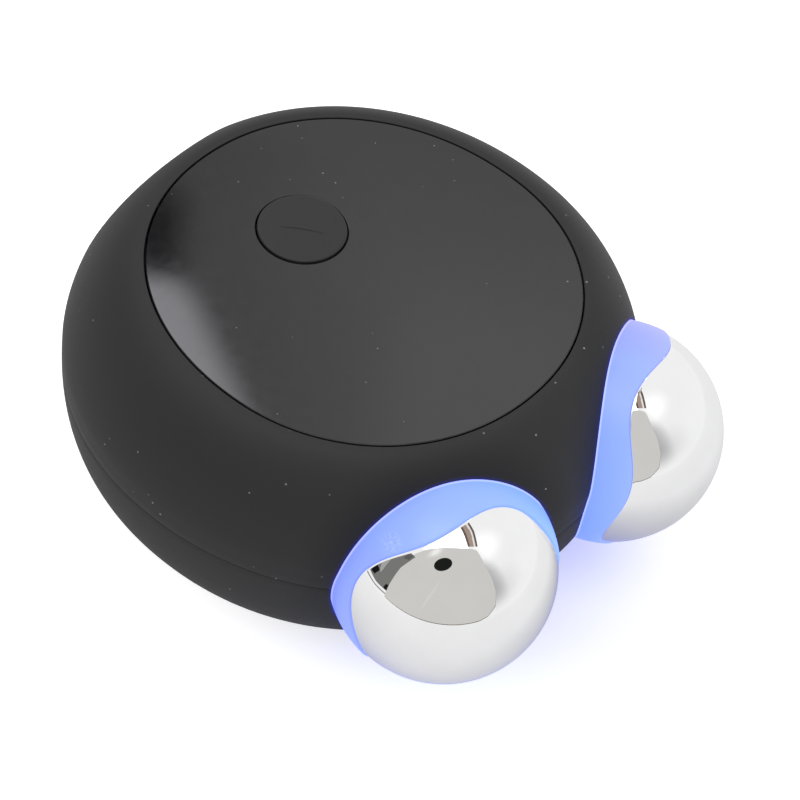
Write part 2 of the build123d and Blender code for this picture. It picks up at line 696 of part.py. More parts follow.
def button_gasket():
    floor = RECESS_FLOOR - BUTTON_WELL_DEPTH
    pad = post(0, BUTTON_PLACE, floor, floor + BUTTON_GASKET_THICKNESS, BUTTON_WELL_RADIUS - FIT_GAP)
    return pad - post(0, BUTTON_PLACE, 0, THICKNESS, STEM_RADIUS + 2 * STEM_PLAY)


def tact_switch():
    body = block(0, BUTTON_PLACE, BOARD_TOP, BOARD_TOP + SWITCH_HEIGHT, SWITCH_SIZE, SWITCH_SIZE)
    floor = BOARD_TOP + SWITCH_HEIGHT - PLUNGER_SINK - BUTTON_TRAVEL - FIT_GAP
    return body - post(0, BUTTON_PLACE, floor, THICKNESS, PLUNGER_RADIUS + PLUNGER_PLAY)


def switch_plunger():
    top = BOARD_TOP + SWITCH_HEIGHT
    return post(0, BUTTON_PLACE, top - PLUNGER_SINK, top + PLUNGER_PROUD, PLUNGER_RADIUS)


# ---------------------------------------------------------------- main board, battery and motor
def main_board():
    """Board with a pointed front that follows the collars' back faces."""
    back = BALL_CENTRE - OUTWARD * (COLLAR_DEPTH + BOARD_SETBACK)
    slope = math.tan(BALL_TURN)
    nose = back.Y - slope * back.X
    corner = back.Y + slope * (BOARD_HALF_WIDTH - back.X)
    edge = Polyline((0, nose), (BOARD_HALF_WIDTH, corner), (BOARD_HALF_WIDTH, BOARD_REAR),
                    (-BOARD_HALF_WIDTH, BOARD_REAR), (-BOARD_HALF_WIDTH, corner), close=True)
    face = make_face(edge)
    face = fillet(face.vertices().group_by(Axis.Y)[-1], BOARD_CORNER)
    board = Pos(0, 0, BOARD_UNDERSIDE) * extrude(face, amount=BOARD_THICKNESS)
    for x, y in board_boss_places():
        board -= post(x, y, 0, THICKNESS, BOARD_SCREW_RADIUS + FIT_GAP)
    return board


def board_screws():
    screws = []
    for x, y in board_boss_places():
        face = BOARD_UNDERSIDE - BOARD_SCREW_HEAD_HEIGHT
        head = post(x, y, face, BOARD_UNDERSIDE, BOARD_SCREW_HEAD)
        head -= cross_slot(x, y, face, BOARD_SCREW_HEAD_HEIGHT, BOARD_SCREW_HEAD)
        tip = BOARD_TOP + BOARD_SCREW_BITE - FIT_GAP
        screws.append(head + post(x, y, BOARD_UNDERSIDE, tip, BOARD_SCREW_RADIUS))
    return screws


def controller_chip():
    return block(0, CHIP_PLACE, BOARD_TOP, BOARD_TOP + CHIP_HEIGHT, CHIP_SIZE, CHIP_SIZE)


def charger_chip():
    return block(CHARGER_X, BOARD_BOSS_REAR, BOARD_TOP, BOARD_TOP + CHIP_HEIGHT, CHARGER_SIZE, CHARGER_SIZE)


def boost_coil():
    return block(-CONNECTOR_X, CONNECTOR_Y, BOARD_UNDERSIDE - COIL_HEIGHT, BOARD_UNDERSIDE,
                 COIL_SIZE, COIL_SIZE)


def battery_connector():
    return block(CONNECTOR_X, CONNECTOR_Y, BOARD_UNDERSIDE - CONNECTOR_HEIGHT, BOARD_UNDERSIDE,
                 CONNECTOR_WIDTH, CONNECTOR_LENGTH)


def charge_socket():
    """Metal sleeve with round sides, open to the rear."""
    end = socket_end()
    start = end - SOCKET_LENGTH
    sleeve = socket_slug(SOCKET_WIDTH, SOCKET_HEIGHT, start, end)
    return sleeve - socket_slug(SOCKET_WIDTH - 2 * SOCKET_SHEET, SOCKET_HEIGHT - 2 * SOCKET_SHEET,
                                start + SOCKET_SHEET, end + CUT)


def charge_tongue():
    """Contact tongue inside the sleeve, on its rear wall."""
    start = socket_end() - SOCKET_LENGTH + SOCKET_SHEET
    tongue = Box(TONGUE_WIDTH, TONGUE_LENGTH, TONGUE_SHEET)
    tongue = Pos(0, start + TONGUE_LENGTH / 2, socket_level()) * tongue
    return tongue + socket_slug(SOCKET_WIDTH - 2 * SOCKET_SHEET, SOCKET_HEIGHT - 2 * SOCKET_SHEET,
                                start, start + TONGUE_FOOT)


def battery_cell():
    cell = battery_frame(0, BATTERY_LEVEL, BATTERY_LEVEL + BATTERY_THICKNESS)
    return fillet(cell.edges(), BATTERY_CORNER)


def battery_pad():
    return battery_frame(-BATTERY_CORNER, BASE_WALL, BATTERY_LEVEL)


def battery_leads():
    """Two wires out of the cell's rear edge, up and into the connector."""
    rear = BATTERY_PLACE + BATTERY_LENGTH / 2
    level = BATTERY_LEVEL + BATTERY_THICKNESS / 2
    entry = BOARD_UNDERSIDE - CONNECTOR_HEIGHT / 2
    reach = rear + LEAD_REACH
    wires = []
    for side in (-1, 1):
        x = CONNECTOR_X + side * LEAD_PITCH / 2
        wires.append(lead([(x, rear, level), (x, reach, level), (x, reach, entry),
                           (x, CONNECTOR_Y + CONNECTOR_LENGTH / 2, entry)]))
    return wires


def vibration_motor():
    can = lying_rod(MOTOR_START, MOTOR_START + MOTOR_LENGTH, MOTOR_RADIUS, MOTOR_PLACE, MOTOR_LEVEL)
    end = MOTOR_START + MOTOR_LENGTH
    return can - lying_rod(end - SHAFT_BEARING - SHAFT_END_GAP, end + CUT, SHAFT_RADIUS + SHAFT_PLAY,
                           MOTOR_PLACE, MOTOR_LEVEL)


def motor_sleeve():
    middle = MOTOR_START + MOTOR_LENGTH / 2
    start, end = middle - SLEEVE_LENGTH / 2, middle + SLEEVE_LENGTH / 2
    sleeve = lying_rod(start, end, MOTOR_RADIUS + SLEEVE_WALL, MOTOR_PLACE, MOTOR_LEVEL)
    return sleeve - lying_rod(start - CUT, end + CUT, MOTOR_RADIUS, MOTOR_PLACE, MOTOR_LEVEL)


def motor_shaft():
    end = MOTOR_START + MOTOR_LENGTH
    return lying_rod(end - SHAFT_BEARING, end + SHAFT_REACH, SHAFT_RADIUS, MOTOR_PLACE, MOTOR_LEVEL)


def eccentric_weight():
    """Half-round weight on its hub; its heavy side hangs down."""
    start = MOTOR_START + MOTOR_LENGTH + WEIGHT_GAP
    end = start + WEIGHT_LENGTH
    weight = lying_rod(start, end, WEIGHT_RADIUS, MOTOR_PLACE, MOTOR_LEVEL)
    weight &= block(0, MOTOR_PLACE, MOTOR_LEVEL - WEIGHT_RADIUS, MOTOR_LEVEL, BIG, BIG)
    weight += lying_rod(start, end, WEIGHT_HUB_RADIUS, MOTOR_PLACE, MOTOR_LEVEL)
    return weight - lying_rod(start - CUT, end + CUT, SHAFT_RADIUS, MOTOR_PLACE, MOTOR_LEVEL)


def motor_leads():
    """Two wires from the motor's back end up to the main board."""
    wires = []
    for side in (-1, 1):
        y = MOTOR_PLACE + side * LEAD_PITCH / 2
        turn_x = MOTOR_START - MOTOR_LEAD_RISE
        wires.append(lead([(MOTOR_START, y, MOTOR_LEVEL), (turn_x, y, MOTOR_LEVEL),
                           (turn_x, y, BOARD_UNDERSIDE)]))
    return wires


# ---------------------------------------------------------------- assembly
def build():
    """Every node by name."""
    upper, lower = shells()
    nodes = {
        "upper_shell": upper,
        "lower_shell": lower,
        "seam_seal": merge([seam_seal()]),
        "housing_screws": merge(housing_screws()),
        "top_panel": top_panel(),
        "panel_adhesive": panel_adhesive(),
        "power_button": power_button(),
        "button_gasket": button_gasket(),
        "tact_switch": tact_switch(),
        "switch_plunger": switch_plunger(),
        "main_board": main_board(),
        "board_screws": merge(board_screws()),
        "controller_chip": controller_chip(),
        "charger_chip": charger_chip(),
        "boost_coil": boost_coil(),
        "battery_connector": battery_connector(),
        "battery_cell": battery_cell(),
        "battery_pad": battery_pad(),
        "battery_leads": merge(battery_leads()),
        "charge_socket": charge_socket(),
        "charge_tongue": charge_tongue(),
        "vibration_motor": vibration_motor(),
        "motor_sleeve": motor_sleeve(),
        "motor_shaft": motor_shaft(),
        "eccentric_weight": eccentric_weight(),
        "motor_leads": merge(motor_leads()),
    }
    right = {
        "light_collar": collar(),
        "electrode": on_ball(electrode()),
        "electrode_plate": on_ball(electrode_plate()),
        "electrode_gasket": on_ball(electrode_gasket()),
        "led_board": on_ball(led_board()),
        "leds": merge(leds()),
        "electrode_screw": on_ball(electrode_screw()),
        "contact_strip": on_ball(contact_strip()),
        "led_leads": merge(led_leads()),
    }
    for name, piece in right.items():
        nodes["right_" + name] = piece
        nodes["left_" + name] = mirrored(piece)
    return nodes


os.makedirs("parts", exist_ok=True)
for name, piece in build().items():
    export_step(piece, f"parts/{name}.step")
    print(f"{name}: {len(piece.solids())} solid(s), {piece.volume:.1f} mm3")
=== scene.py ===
# %% [markdown]
# # A facial toning device, dressed on its CAD frame
# The device is a palm-sized pebble of soft-touch plastic with a glossy round panel, one button, and two
# chrome electrode balls that sit in glowing, wavy-edged collars. The CAD model gives every piece its
# place. This script gives the pieces that show their smooth shapes and their finishes.

# %% Load the fixed frame
import json
import math

import bpy
from mathutils import Matrix, Vector
from mathutils.bvhtree import BVHTree


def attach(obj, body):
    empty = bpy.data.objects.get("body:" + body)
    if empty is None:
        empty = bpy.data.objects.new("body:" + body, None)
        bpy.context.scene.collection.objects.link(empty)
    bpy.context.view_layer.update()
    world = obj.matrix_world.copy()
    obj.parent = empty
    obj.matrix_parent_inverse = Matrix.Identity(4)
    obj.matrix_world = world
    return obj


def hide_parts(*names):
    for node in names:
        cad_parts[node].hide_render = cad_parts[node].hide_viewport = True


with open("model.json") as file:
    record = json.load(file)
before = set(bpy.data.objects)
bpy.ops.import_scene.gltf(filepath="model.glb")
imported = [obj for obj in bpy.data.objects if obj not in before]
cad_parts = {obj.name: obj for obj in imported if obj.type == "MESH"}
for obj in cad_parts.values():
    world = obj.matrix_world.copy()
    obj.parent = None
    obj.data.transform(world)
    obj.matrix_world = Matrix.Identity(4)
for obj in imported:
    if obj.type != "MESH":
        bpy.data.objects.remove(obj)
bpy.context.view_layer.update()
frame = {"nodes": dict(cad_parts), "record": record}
MM = 0.001
print("CAD nodes:", len(frame["nodes"]))

# %% [markdown]
# ## Camera
# A long lens from 46 cm away keeps the two balls nearly equal in size. A camera's matrix has its right,
# up and backward directions as columns, so these three also say how far it leans.

# %% Camera
camera_data = bpy.data.cameras.new("camera")
camera = bpy.data.objects.new("camera", camera_data)
bpy.context.scene.collection.objects.link(camera)
camera_right = Vector((0.665018, -0.739560, 0.103928))
camera_up = Vector((0.518207, 0.557159, 0.648872))
camera_back = Vector((-0.537785, -0.377656, 0.753766))
camera_place = Vector((-0.238035, -0.174600, 0.350623))
camera_turn = Matrix((camera_right, camera_up, camera_back)).transposed().to_4x4()
camera.matrix_world = Matrix.Translation(camera_place) @ camera_turn
camera_data.sensor_width = 36
camera_data.lens = 184.45
camera_data.clip_start, camera_data.clip_end = 0.01, 20
bpy.context.scene.camera = camera
bpy.context.scene.view_settings.view_transform = "Standard"
print("camera is", round(camera_place.length / MM), "mm from the origin")

# %% [markdown]
# ## Sizes
# These are the real object's sizes in metres. The housing is one outline at its flat base, a wider one at
# its waist and a third at its crown, with rounded profiles between them. A level is a height over the
# base, and a break is the small rounding of an edge.

# %% Sizes of the housing, the panel, the button and the balls
THICKNESS = 31.2 * MM
WAIST_LEVEL, SEAM_LEVEL, SEAM_GAP = 19.4 * MM, 16.8 * MM, 0.12 * MM
RECESS_FLOOR, PLATE_UNDERSIDE = 29.4 * MM, 27.6 * MM
WALL, BASE_WALL = 2.2 * MM, 2.4 * MM
WAIST_HALF_WIDTH, WAIST_REAR, WAIST_FRONT = 31.1 * MM, 30.75 * MM, 31.5 * MM
WAIST_POWER, SHOULDER_POWER, BELLY_POWER = 2.06, 1.59, 2.44
FOOT_HALF_WIDTH, FOOT_REACH = 13.9 * MM, 13.7 * MM
REAR_FLAT, REAR_LEAN, REAR_EASE = 28.5 * MM, math.radians(11.8), 0.35 * MM
SEAM_BREAK, RECESS_BREAK = 0.1 * MM, 0.12 * MM
WELL_RADIUS, WELL_FLOOR, STEM_HOLE_RADIUS = 6.3 * MM, 28.0 * MM, 1.66 * MM
PORT_END_RADIUS, PORT_HALF_STRAIGHT, PORT_DEPTH = 1.81 * MM, 2.84 * MM, 8 * MM
PORT_PLACE = Vector((0, 27, 20.67)) * MM

PANEL_HALF_WIDTH, PANEL_REAR, PANEL_FRONT = 22.6 * MM, 23.2 * MM, 23.55 * MM
PANEL_POWER, PANEL_SHIFT = 2.08, -1.3 * MM
PANEL_UNDERSIDE, PANEL_BREAK = 29.6 * MM, 0.1 * MM
PANEL_GROOVE, PANEL_RIM = 0.16 * MM, 0.58 * MM

BUTTON_PLACE, BUTTON_HOLE, HOLE_BREAK = 8.7 * MM, 5.0 * MM, 0.08 * MM
BUTTON_RADIUS, BUTTON_TOP, BUTTON_BREAK = 4.86 * MM, 31.45 * MM, 0.16 * MM
FLANGE_RADIUS, FLANGE_TOP, FLANGE_THICKNESS = 5.8 * MM, 29.55 * MM, 0.6 * MM
STEM_RADIUS, STEM_END = 1.6 * MM, 26.1 * MM
BUTTON_CUT_TOP, STEM_CUT_END = 30 * MM, 20 * MM
RIDGE_LENGTH, RIDGE_WIDTH, RIDGE_HEIGHT = 5.0 * MM, 0.34 * MM, 0.22 * MM
RIDGE_BEND, RIDGE_TURN = 12 * MM, math.radians(-54.7)

BALL_CENTRE = Vector((13.85, -26.1, 16.8)) * MM
BALL_RADIUS, BALL_BORE, POCKET_RADIUS = 12.0 * MM, 10.8 * MM, 12.32 * MM
BALL_EDGE_GAP, BALL_EDGE_BREAK = 0.20 * MM, 0.12 * MM
NECK_RADIUS, NECK_BORE, NECK_END = 11.0 * MM, 10.0 * MM, -3.4 * MM
COLLAR_RADIUS, COLLAR_BORE, COLLAR_EDGE_BREAK = 12.2 * MM, 11.1 * MM, 0.15 * MM
COLLAR_BACK, COLLAR_FLOOR, COLLAR_STEP = -8.6 * MM, -7.2 * MM, -3.9 * MM
COLLAR_SCREW_HOLE, COLLAR_BOARD_SEAT = 1.4 * MM, 9.0 * MM


def outline(turn, half_width, rear, front, power, shift=0.0, grow=0.0):
    """Point of a superellipse whose rear and front halves differ, in the direction turn."""
    across, along = math.cos(turn), math.sin(turn)
    reach = rear - shift if along >= 0 else front + shift
    size = abs(across / (half_width + grow)) ** power + abs(along / (reach + grow)) ** power
    radius = size ** (-1 / power)
    return radius * across, radius * along + shift


def waist(turn, grow=0.0):
    return outline(turn, WAIST_HALF_WIDTH, WAIST_REAR, WAIST_FRONT, WAIST_POWER, grow=grow)


def foot(turn, grow=0.0):
    return outline(turn, FOOT_HALF_WIDTH, FOOT_REACH, FOOT_REACH, WAIST_POWER, grow=grow)


def panel_edge(turn, grow=0.0):
    return outline(turn, PANEL_HALF_WIDTH, PANEL_REAR, PANEL_FRONT, PANEL_POWER, PANEL_SHIFT, grow)


def crown(turn, grow=0.0):
    return panel_edge(turn, PANEL_GROOVE + PANEL_RIM + grow)


# %% [markdown]
# ## A form from rings
# A UV sphere is a stack of rings between two poles, and a torus is a ring of rings. Both are good starts
# for a moulded shape: each ring is moved to the outline that the piece has at that level. The faces stay
# in clean rows, so the surface shades smoothly, which a chrome ball shows at once.

# %% Helpers for making a piece
ROUNDING = [(math.sin(math.pi / 8 * step), math.cos(math.pi / 8 * step)) for step in range(5)]


def deselect():
    if bpy.context.object and bpy.context.object.mode != "OBJECT":
        bpy.ops.object.mode_set(mode="OBJECT")
    bpy.ops.object.select_all(action="DESELECT")


def take(name):
    """The object that an operator just added, under its own name."""
    piece = bpy.context.object
    piece.name = name
    piece.data.name = name
    return piece


def settle(name):
    """Takes the new object, with its place, turn and size put into its mesh."""
    bpy.ops.object.transform_apply(location=True, rotation=True, scale=True)
    return take(name)


def choose(piece):
    """Makes this piece the only one that operators act on."""
    deselect()
    piece.select_set(True)
    bpy.context.view_layer.objects.active = piece


def face_outwards(piece):
    choose(piece)
    bpy.ops.object.mode_set(mode="EDIT")
    bpy.ops.mesh.select_all(action="SELECT")
    bpy.ops.mesh.normals_make_consistent(inside=False)
    bpy.ops.object.mode_set(mode="OBJECT")


def globe_form(name, rings, segments):
    """A closed form from a sphere: the first and last rings are the poles, from the bottom up."""
    deselect()
    bpy.ops.mesh.primitive_uv_sphere_add(segments=segments, ring_count=len(rings) - 1, radius=1)
    piece = take(name)
    for vertex in piece.data.vertices:
        height = max(-1.0, min(1.0, vertex.co.z))
        level = round((len(rings) - 1) * (0.5 + math.asin(height) / math.pi))
        vertex.co = rings[level](math.atan2(vertex.co.y, vertex.co.x))
    face_outwards(piece)
    return piece


def hoop_form(name, rings, segments):
    """A closed form with a hole, from a torus: the rings go once round its section."""
    deselect()
    bpy.ops.mesh.primitive_torus_add(major_segments=segments, minor_segments=len(rings),
                                     major_radius=1, minor_radius=0.25)
    piece = take(name)
    for vertex in piece.data.vertices:
        x, y, z = vertex.co
        level = round(math.atan2(z, math.hypot(x, y) - 1) / (2 * math.pi) * len(rings)) % len(rings)
        vertex.co = rings[level](math.atan2(y, x))
    face_outwards(piece)
    return piece


def cut_away(piece, *cutters):
    """Takes other closed forms out of a piece, and deletes them."""
    choose(piece)
    for cutter in cutters:
        cut = piece.modifiers.new("cut", "BOOLEAN")
        cut.operation, cut.solver, cut.object = "DIFFERENCE", "EXACT", cutter
        bpy.ops.object.modifier_apply(modifier=cut.name)
        bpy.data.objects.remove(cutter)
    print(piece.name, "has", len(piece.data.polygons), "faces")


def smooth(piece, angle):
    choose(piece)
    bpy.ops.object.shade_smooth_by_angle(angle=math.radians(angle))


def on_side(side, point):
    """A point as it is on the right, 1, or its mirror image on the left, -1."""
    return Vector((side * point.x, point.y, point.z))


# %% [markdown]
# ## Housing
# The housing is two soft-touch shells that part at the height of the balls' centres. Its form is one globe
# of rings. The rear is pressed to a flat face for the charging socket, which leans towards the balls at
# its top. A smooth minimum does the pressing, so no hard line shows where the flat begins.

# %% The housing's rings
def press_flat(y, level, side):
    """The smaller of y and the leaning rear face's reach, with an eased turn between them."""
    limit = REAR_FLAT - math.tan(REAR_LEAN) * (level - WAIST_LEVEL) - side / math.cos(REAR_LEAN)
    mix = min(1.0, max(0.0, 0.5 + (y - limit) / (2 * REAR_EASE)))
    return y + (limit - y) * mix - REAR_EASE * mix * (1 - mix)


def blended(start, end, share, level, side):
    """A ring part of the way between two outlines, at one level."""
    def ring(turn):
        x, y = (p + (q - p) * share for p, q in zip(start(turn), end(turn)))
        return Vector((x, press_flat(y, level, side), level))
    return ring


def pole(level):
    return lambda turn: Vector((0, 0, level))


def pebble_rings(side=0.0, top=0.0, base=0.0, steps=36):
    """The rings from the base's rim, out to the waist and in to the crown's edge."""
    start, middle, end = (lambda turn, edge=edge: edge(turn, -side) for edge in (foot, waist, crown))
    rings = []
    for step in range(steps):
        turn = math.pi / 2 * (1 - step / steps)
        share = math.cos(turn) ** (2 / BELLY_POWER) if step else 0.0
        drop = math.sin(turn) ** (2 / BELLY_POWER)
        rings.append(blended(start, middle, share, WAIST_LEVEL - (WAIST_LEVEL - base) * drop, side))
    for step in range(steps + 1):
        turn = math.pi / 2 * (1 - step / steps)
        share = math.sin(turn) ** (2 / SHOULDER_POWER) if step < steps else 0.0
        rise = math.cos(turn) ** (2 / SHOULDER_POWER) if step else 0.0
        level = WAIST_LEVEL + (THICKNESS - WAIST_LEVEL - top) * rise
        rings.append(blended(end, middle, share, level, side))
    return rings


def spread(edge, share, level):
    """A ring that is an outline drawn in towards the middle."""
    def ring(turn):
        x, y = edge(turn)
        return Vector((x * share, y * share, level))
    return ring


def recess_edge(inset):
    return lambda turn: panel_edge(turn, PANEL_GROOVE + inset)


base_rings = [pole(0)] + [spread(foot, share, 0) for share in (0.2, 0.4, 0.6, 0.8, 0.93)]
recess_rings = [spread(recess_edge(RECESS_BREAK * 1.6), 1, THICKNESS)]
recess_rings += [spread(recess_edge(RECESS_BREAK * (1 - sine)), 1, THICKNESS - RECESS_BREAK * (1 - cosine))
                 for sine, cosine in ROUNDING]
recess_rings += [spread(recess_edge(0), share, RECESS_FLOOR) for share in (1, 0.96, 0.75, 0.5, 0.25)]
recess_rings.append(pole(RECESS_FLOOR))
housing_rings = base_rings + pebble_rings() + recess_rings
hollow_rings = pebble_rings(WALL, THICKNESS - PLATE_UNDERSIDE, BASE_WALL, steps=12)
hollow_rings = [pole(BASE_WALL)] + hollow_rings + [pole(PLATE_UNDERSIDE)]
print("rings in the housing:", len(housing_rings))

# %% [markdown]
# Each shell is the whole form, cut at the parting line with bisect, which also closes the cut. A small
# bevel there catches the light as a moulded edge does. The inside, the two ball sockets, the button's well
# and the charging port are then taken out with booleans.

# %% Make the two shells
def halve(piece, level, keep_above):
    """Cuts a form at a level, closes it and breaks the outer edge."""
    choose(piece)
    bpy.ops.object.mode_set(mode="EDIT")
    bpy.ops.mesh.select_all(action="SELECT")
    bpy.ops.mesh.bisect(plane_co=(0, 0, level), plane_no=(0, 0, 1), use_fill=True,
                        clear_inner=keep_above, clear_outer=not keep_above)
    bpy.ops.mesh.select_mode(type="FACE")
    bpy.ops.mesh.select_all(action="DESELECT")
    bpy.ops.object.mode_set(mode="OBJECT")
    for face in piece.data.polygons:
        face.select = len(face.vertices) > 8
    bpy.ops.object.mode_set(mode="EDIT")
    bpy.ops.mesh.region_to_loop()
    bpy.ops.mesh.bevel(offset=SEAM_BREAK, segments=2, affect="EDGES")
    bpy.ops.object.mode_set(mode="OBJECT")


def ball_cutter(side):
    deselect()
    bpy.ops.mesh.primitive_uv_sphere_add(segments=160, ring_count=80, radius=POCKET_RADIUS,
                                         location=on_side(side, BALL_CENTRE))
    return settle("ball_cutter")


def button_cutter(radius, low):
    """An upright cylinder under the button, whose top stands clear of the recess's floor."""
    deselect()
    bpy.ops.mesh.primitive_cylinder_add(vertices=128, radius=radius, depth=BUTTON_CUT_TOP - low,
                                        location=(0, BUTTON_PLACE, (low + BUTTON_CUT_TOP) / 2))
    return settle("button_cutter")


def port_cutter():
    """A round-ended slot along Y, from a cylinder whose two sides are moved apart."""
    deselect()
    bpy.ops.mesh.primitive_cylinder_add(vertices=64, radius=PORT_END_RADIUS, depth=PORT_DEPTH,
                                        rotation=(math.pi / 2, 0, 0))
    cutter = settle("port_cutter")
    for vertex in cutter.data.vertices:
        if abs(vertex.co.x) > 1e-7:
            vertex.co.x += math.copysign(PORT_HALF_STRAIGHT, vertex.co.x)
        vertex.co += PORT_PLACE
    return cutter


shells = {}
for name, level, keep_above in (("soft_upper_shell", SEAM_LEVEL + SEAM_GAP / 2, True),
                                ("soft_lower_shell", SEAM_LEVEL - SEAM_GAP / 2, False)):
    shell = globe_form(name, housing_rings, 288)
    halve(shell, level, keep_above)
    cut_away(shell, globe_form("hollow", hollow_rings, 96), ball_cutter(1), ball_cutter(-1), port_cutter())
    shells[name] = shell
cut_away(shells["soft_upper_shell"], button_cutter(WELL_RADIUS, WELL_FLOOR),
         button_cutter(STEM_HOLE_RADIUS, STEM_CUT_END))
for shell in shells.values():
    smooth(shell, 35)

# %% [markdown]
# ## Panel
# The panel is a flat glossy plate with a round hole for the button. A torus is the right start, because
# the plate has one hole: its rings run from the underside up round the outer edge, over the top, and down
# the hole's wall.

# %% Make the panel
def plate_ring(share, level, inset=0.0, hole=BUTTON_HOLE):
    """A ring part of the way from the button's hole, 0, to the panel's outline, 1."""
    def ring(turn):
        inner = hole * math.cos(turn), BUTTON_PLACE + hole * math.sin(turn)
        outer = panel_edge(turn, -inset)
        return Vector((*(start + (end - start) * share for start, end in zip(inner, outer)), level))
    return ring


panel_rings = [plate_ring(1, PANEL_UNDERSIDE)]
panel_rings += [plate_ring(1, THICKNESS - PANEL_BREAK * (1 - sine), PANEL_BREAK * (1 - cosine))
                for sine, cosine in ROUNDING]
top_shares = (0.997, 0.99, 0.85, 0.7, 0.5, 0.3, 0.12, 0.012, 0.004)
panel_rings += [plate_ring(share, THICKNESS) for share in top_shares]
panel_rings += [plate_ring(0, THICKNESS - HOLE_BREAK * (1 - cosine),
                           hole=BUTTON_HOLE + HOLE_BREAK * (1 - sine)) for sine, cosine in ROUNDING]
panel_rings += [plate_ring(0, PANEL_UNDERSIDE), plate_ring(0.5, PANEL_UNDERSIDE)]
panel = hoop_form("gloss_panel_plate", panel_rings, 320)
smooth(panel, 50)
print("panel is", round(2 * panel_edge(0)[0] / MM, 1), "mm wide")

# %% [markdown]
# ## Button
# The cap, its hidden flange and its stem are one turned form, so it starts as the flange, a short
# cylinder. Its top face is inset and pulled up into the cap, and its bottom face is inset and pulled down
# into the stem. The low curved ridge is a bar that is sunk half into the cap, rounded on top, and bent
# along an arc.

# %% Make the button
def pick_cap(piece, upwards):
    """Selects the topmost or the lowest flat face in edit mode."""
    bpy.ops.object.mode_set(mode="OBJECT")
    flat = [face for face in piece.data.polygons if abs(face.normal.z) > 0.9 and len(face.vertices) > 8]
    flat.sort(key=lambda face: face.center.z)
    for part in (piece.data.vertices, piece.data.edges, piece.data.polygons):
        part.foreach_set("select", [False] * len(part))
    flat[-1 if upwards else 0].select = True
    bpy.ops.object.mode_set(mode="EDIT")
    bpy.ops.mesh.select_mode(type="FACE")


def pull(distance):
    bpy.ops.mesh.extrude_region_move(TRANSFORM_OT_translate={"value": (0, 0, distance)})


deselect()
bpy.ops.mesh.primitive_cylinder_add(vertices=128, radius=FLANGE_RADIUS, depth=FLANGE_THICKNESS,
                                    location=(0, BUTTON_PLACE, FLANGE_TOP - FLANGE_THICKNESS / 2))
button = settle("button_cap")
pick_cap(button, True)
bpy.ops.mesh.inset(thickness=FLANGE_RADIUS - BUTTON_RADIUS, depth=0)
pull(BUTTON_TOP - FLANGE_TOP)
bpy.ops.mesh.bevel(offset=BUTTON_BREAK, segments=4, affect="EDGES")
pick_cap(button, True)
bpy.ops.mesh.inset(thickness=0.3 * MM, depth=0)
pick_cap(button, False)
bpy.ops.mesh.inset(thickness=FLANGE_RADIUS - STEM_RADIUS, depth=0)
pull(STEM_END - FLANGE_TOP + FLANGE_THICKNESS)
bpy.ops.object.mode_set(mode="OBJECT")

deselect()
bpy.ops.mesh.primitive_cube_add(size=1, scale=(RIDGE_LENGTH, RIDGE_WIDTH, RIDGE_HEIGHT))
ridge = settle("button_ridge")
bpy.ops.object.mode_set(mode="EDIT")
bpy.ops.mesh.subdivide(number_cuts=24)
bpy.ops.object.mode_set(mode="OBJECT")
taper_end, flank = RIDGE_LENGTH / 2 + 0.02 * MM, RIDGE_WIDTH / 2 + 0.01 * MM
for vertex in ridge.data.vertices:
    x, y, z = vertex.co
    taper = math.sqrt(max(0.0, 1 - (x / taper_end) ** 2))
    if z > 0:
        z *= taper * (1 - (y / flank) ** 2)
    sweep, radius = x / RIDGE_BEND, RIDGE_BEND + y * taper
    bent = Vector((radius * math.sin(sweep), radius * math.cos(sweep) - RIDGE_BEND, z))
    bent.rotate(Matrix.Rotation(RIDGE_TURN, 3, "Z"))
    vertex.co = bent + Vector((0, BUTTON_PLACE, BUTTON_TOP))
deselect()
ridge.select_set(True)
button.select_set(True)
bpy.context.view_layer.objects.active = button
bpy.ops.object.join()
smooth(button, 40)
button_high = max(vertex.co.z for vertex in button.data.vertices)
print("button stands", round((button_high - THICKNESS) / MM, 2), "mm proud, ridge and all")

# %% [markdown]
# ## Electrodes and collars
# Each ball is a chromed shell whose edge waves in four lobes round its axis, and the light collar's front
# edge follows the same wave. The ball is a globe of rings and the collar a hoop of them, in the ball's own
# frame: local Z is the ball's axis, and every ring near the edge follows the wave. The neck behind the
# edge is thinner and hides in the collar.

# %% The wave and the ball's own frame
axis_turn = math.atan2(BALL_CENTRE.x, -BALL_CENTRE.y)
outward = Vector((math.sin(axis_turn), -math.cos(axis_turn), 0))
sideways = Vector((math.cos(axis_turn), math.sin(axis_turn), 0))


def place(side, x, y, z):
    """From the ball's own frame to its place on the right, 1, or on the left, -1."""
    return on_side(side, BALL_CENTRE + sideways * x + Vector((0, 0, y)) + outward * z)


def wave(turn):
    """Angle of the wavy edge from the ball's axis, in radians."""
    lobes = 5 * math.cos(4 * (turn - math.radians(24.6)))
    tilt = 1.6 * math.cos(turn - math.radians(140))
    return math.radians(76 + lobes + tilt)


def flat_ring(side, radius, level):
    return lambda turn: place(side, radius * math.cos(turn), radius * math.sin(turn), level)


def shell_ring(side, radius, angle):
    """A ring at a distance from the ball's centre, at an angle from its axis that may follow the wave."""
    def ring(turn):
        away = angle(turn) if callable(angle) else angle
        return flat_ring(side, radius * math.sin(away), radius * math.cos(away))(turn)
    return ring


def waved(share=1.0, offset=0.0):
    """An angle that is a share of the wave's, plus a distance along the ball's surface."""
    return lambda turn: wave(turn) * share + offset / BALL_RADIUS


def from_wave(end, share, offset=0.0):
    """An angle part of the way from the wave, or from a distance behind it, to a fixed one."""
    def angle(turn):
        start = wave(turn) + offset / BALL_RADIUS
        return start + (end - start) * share
    return angle


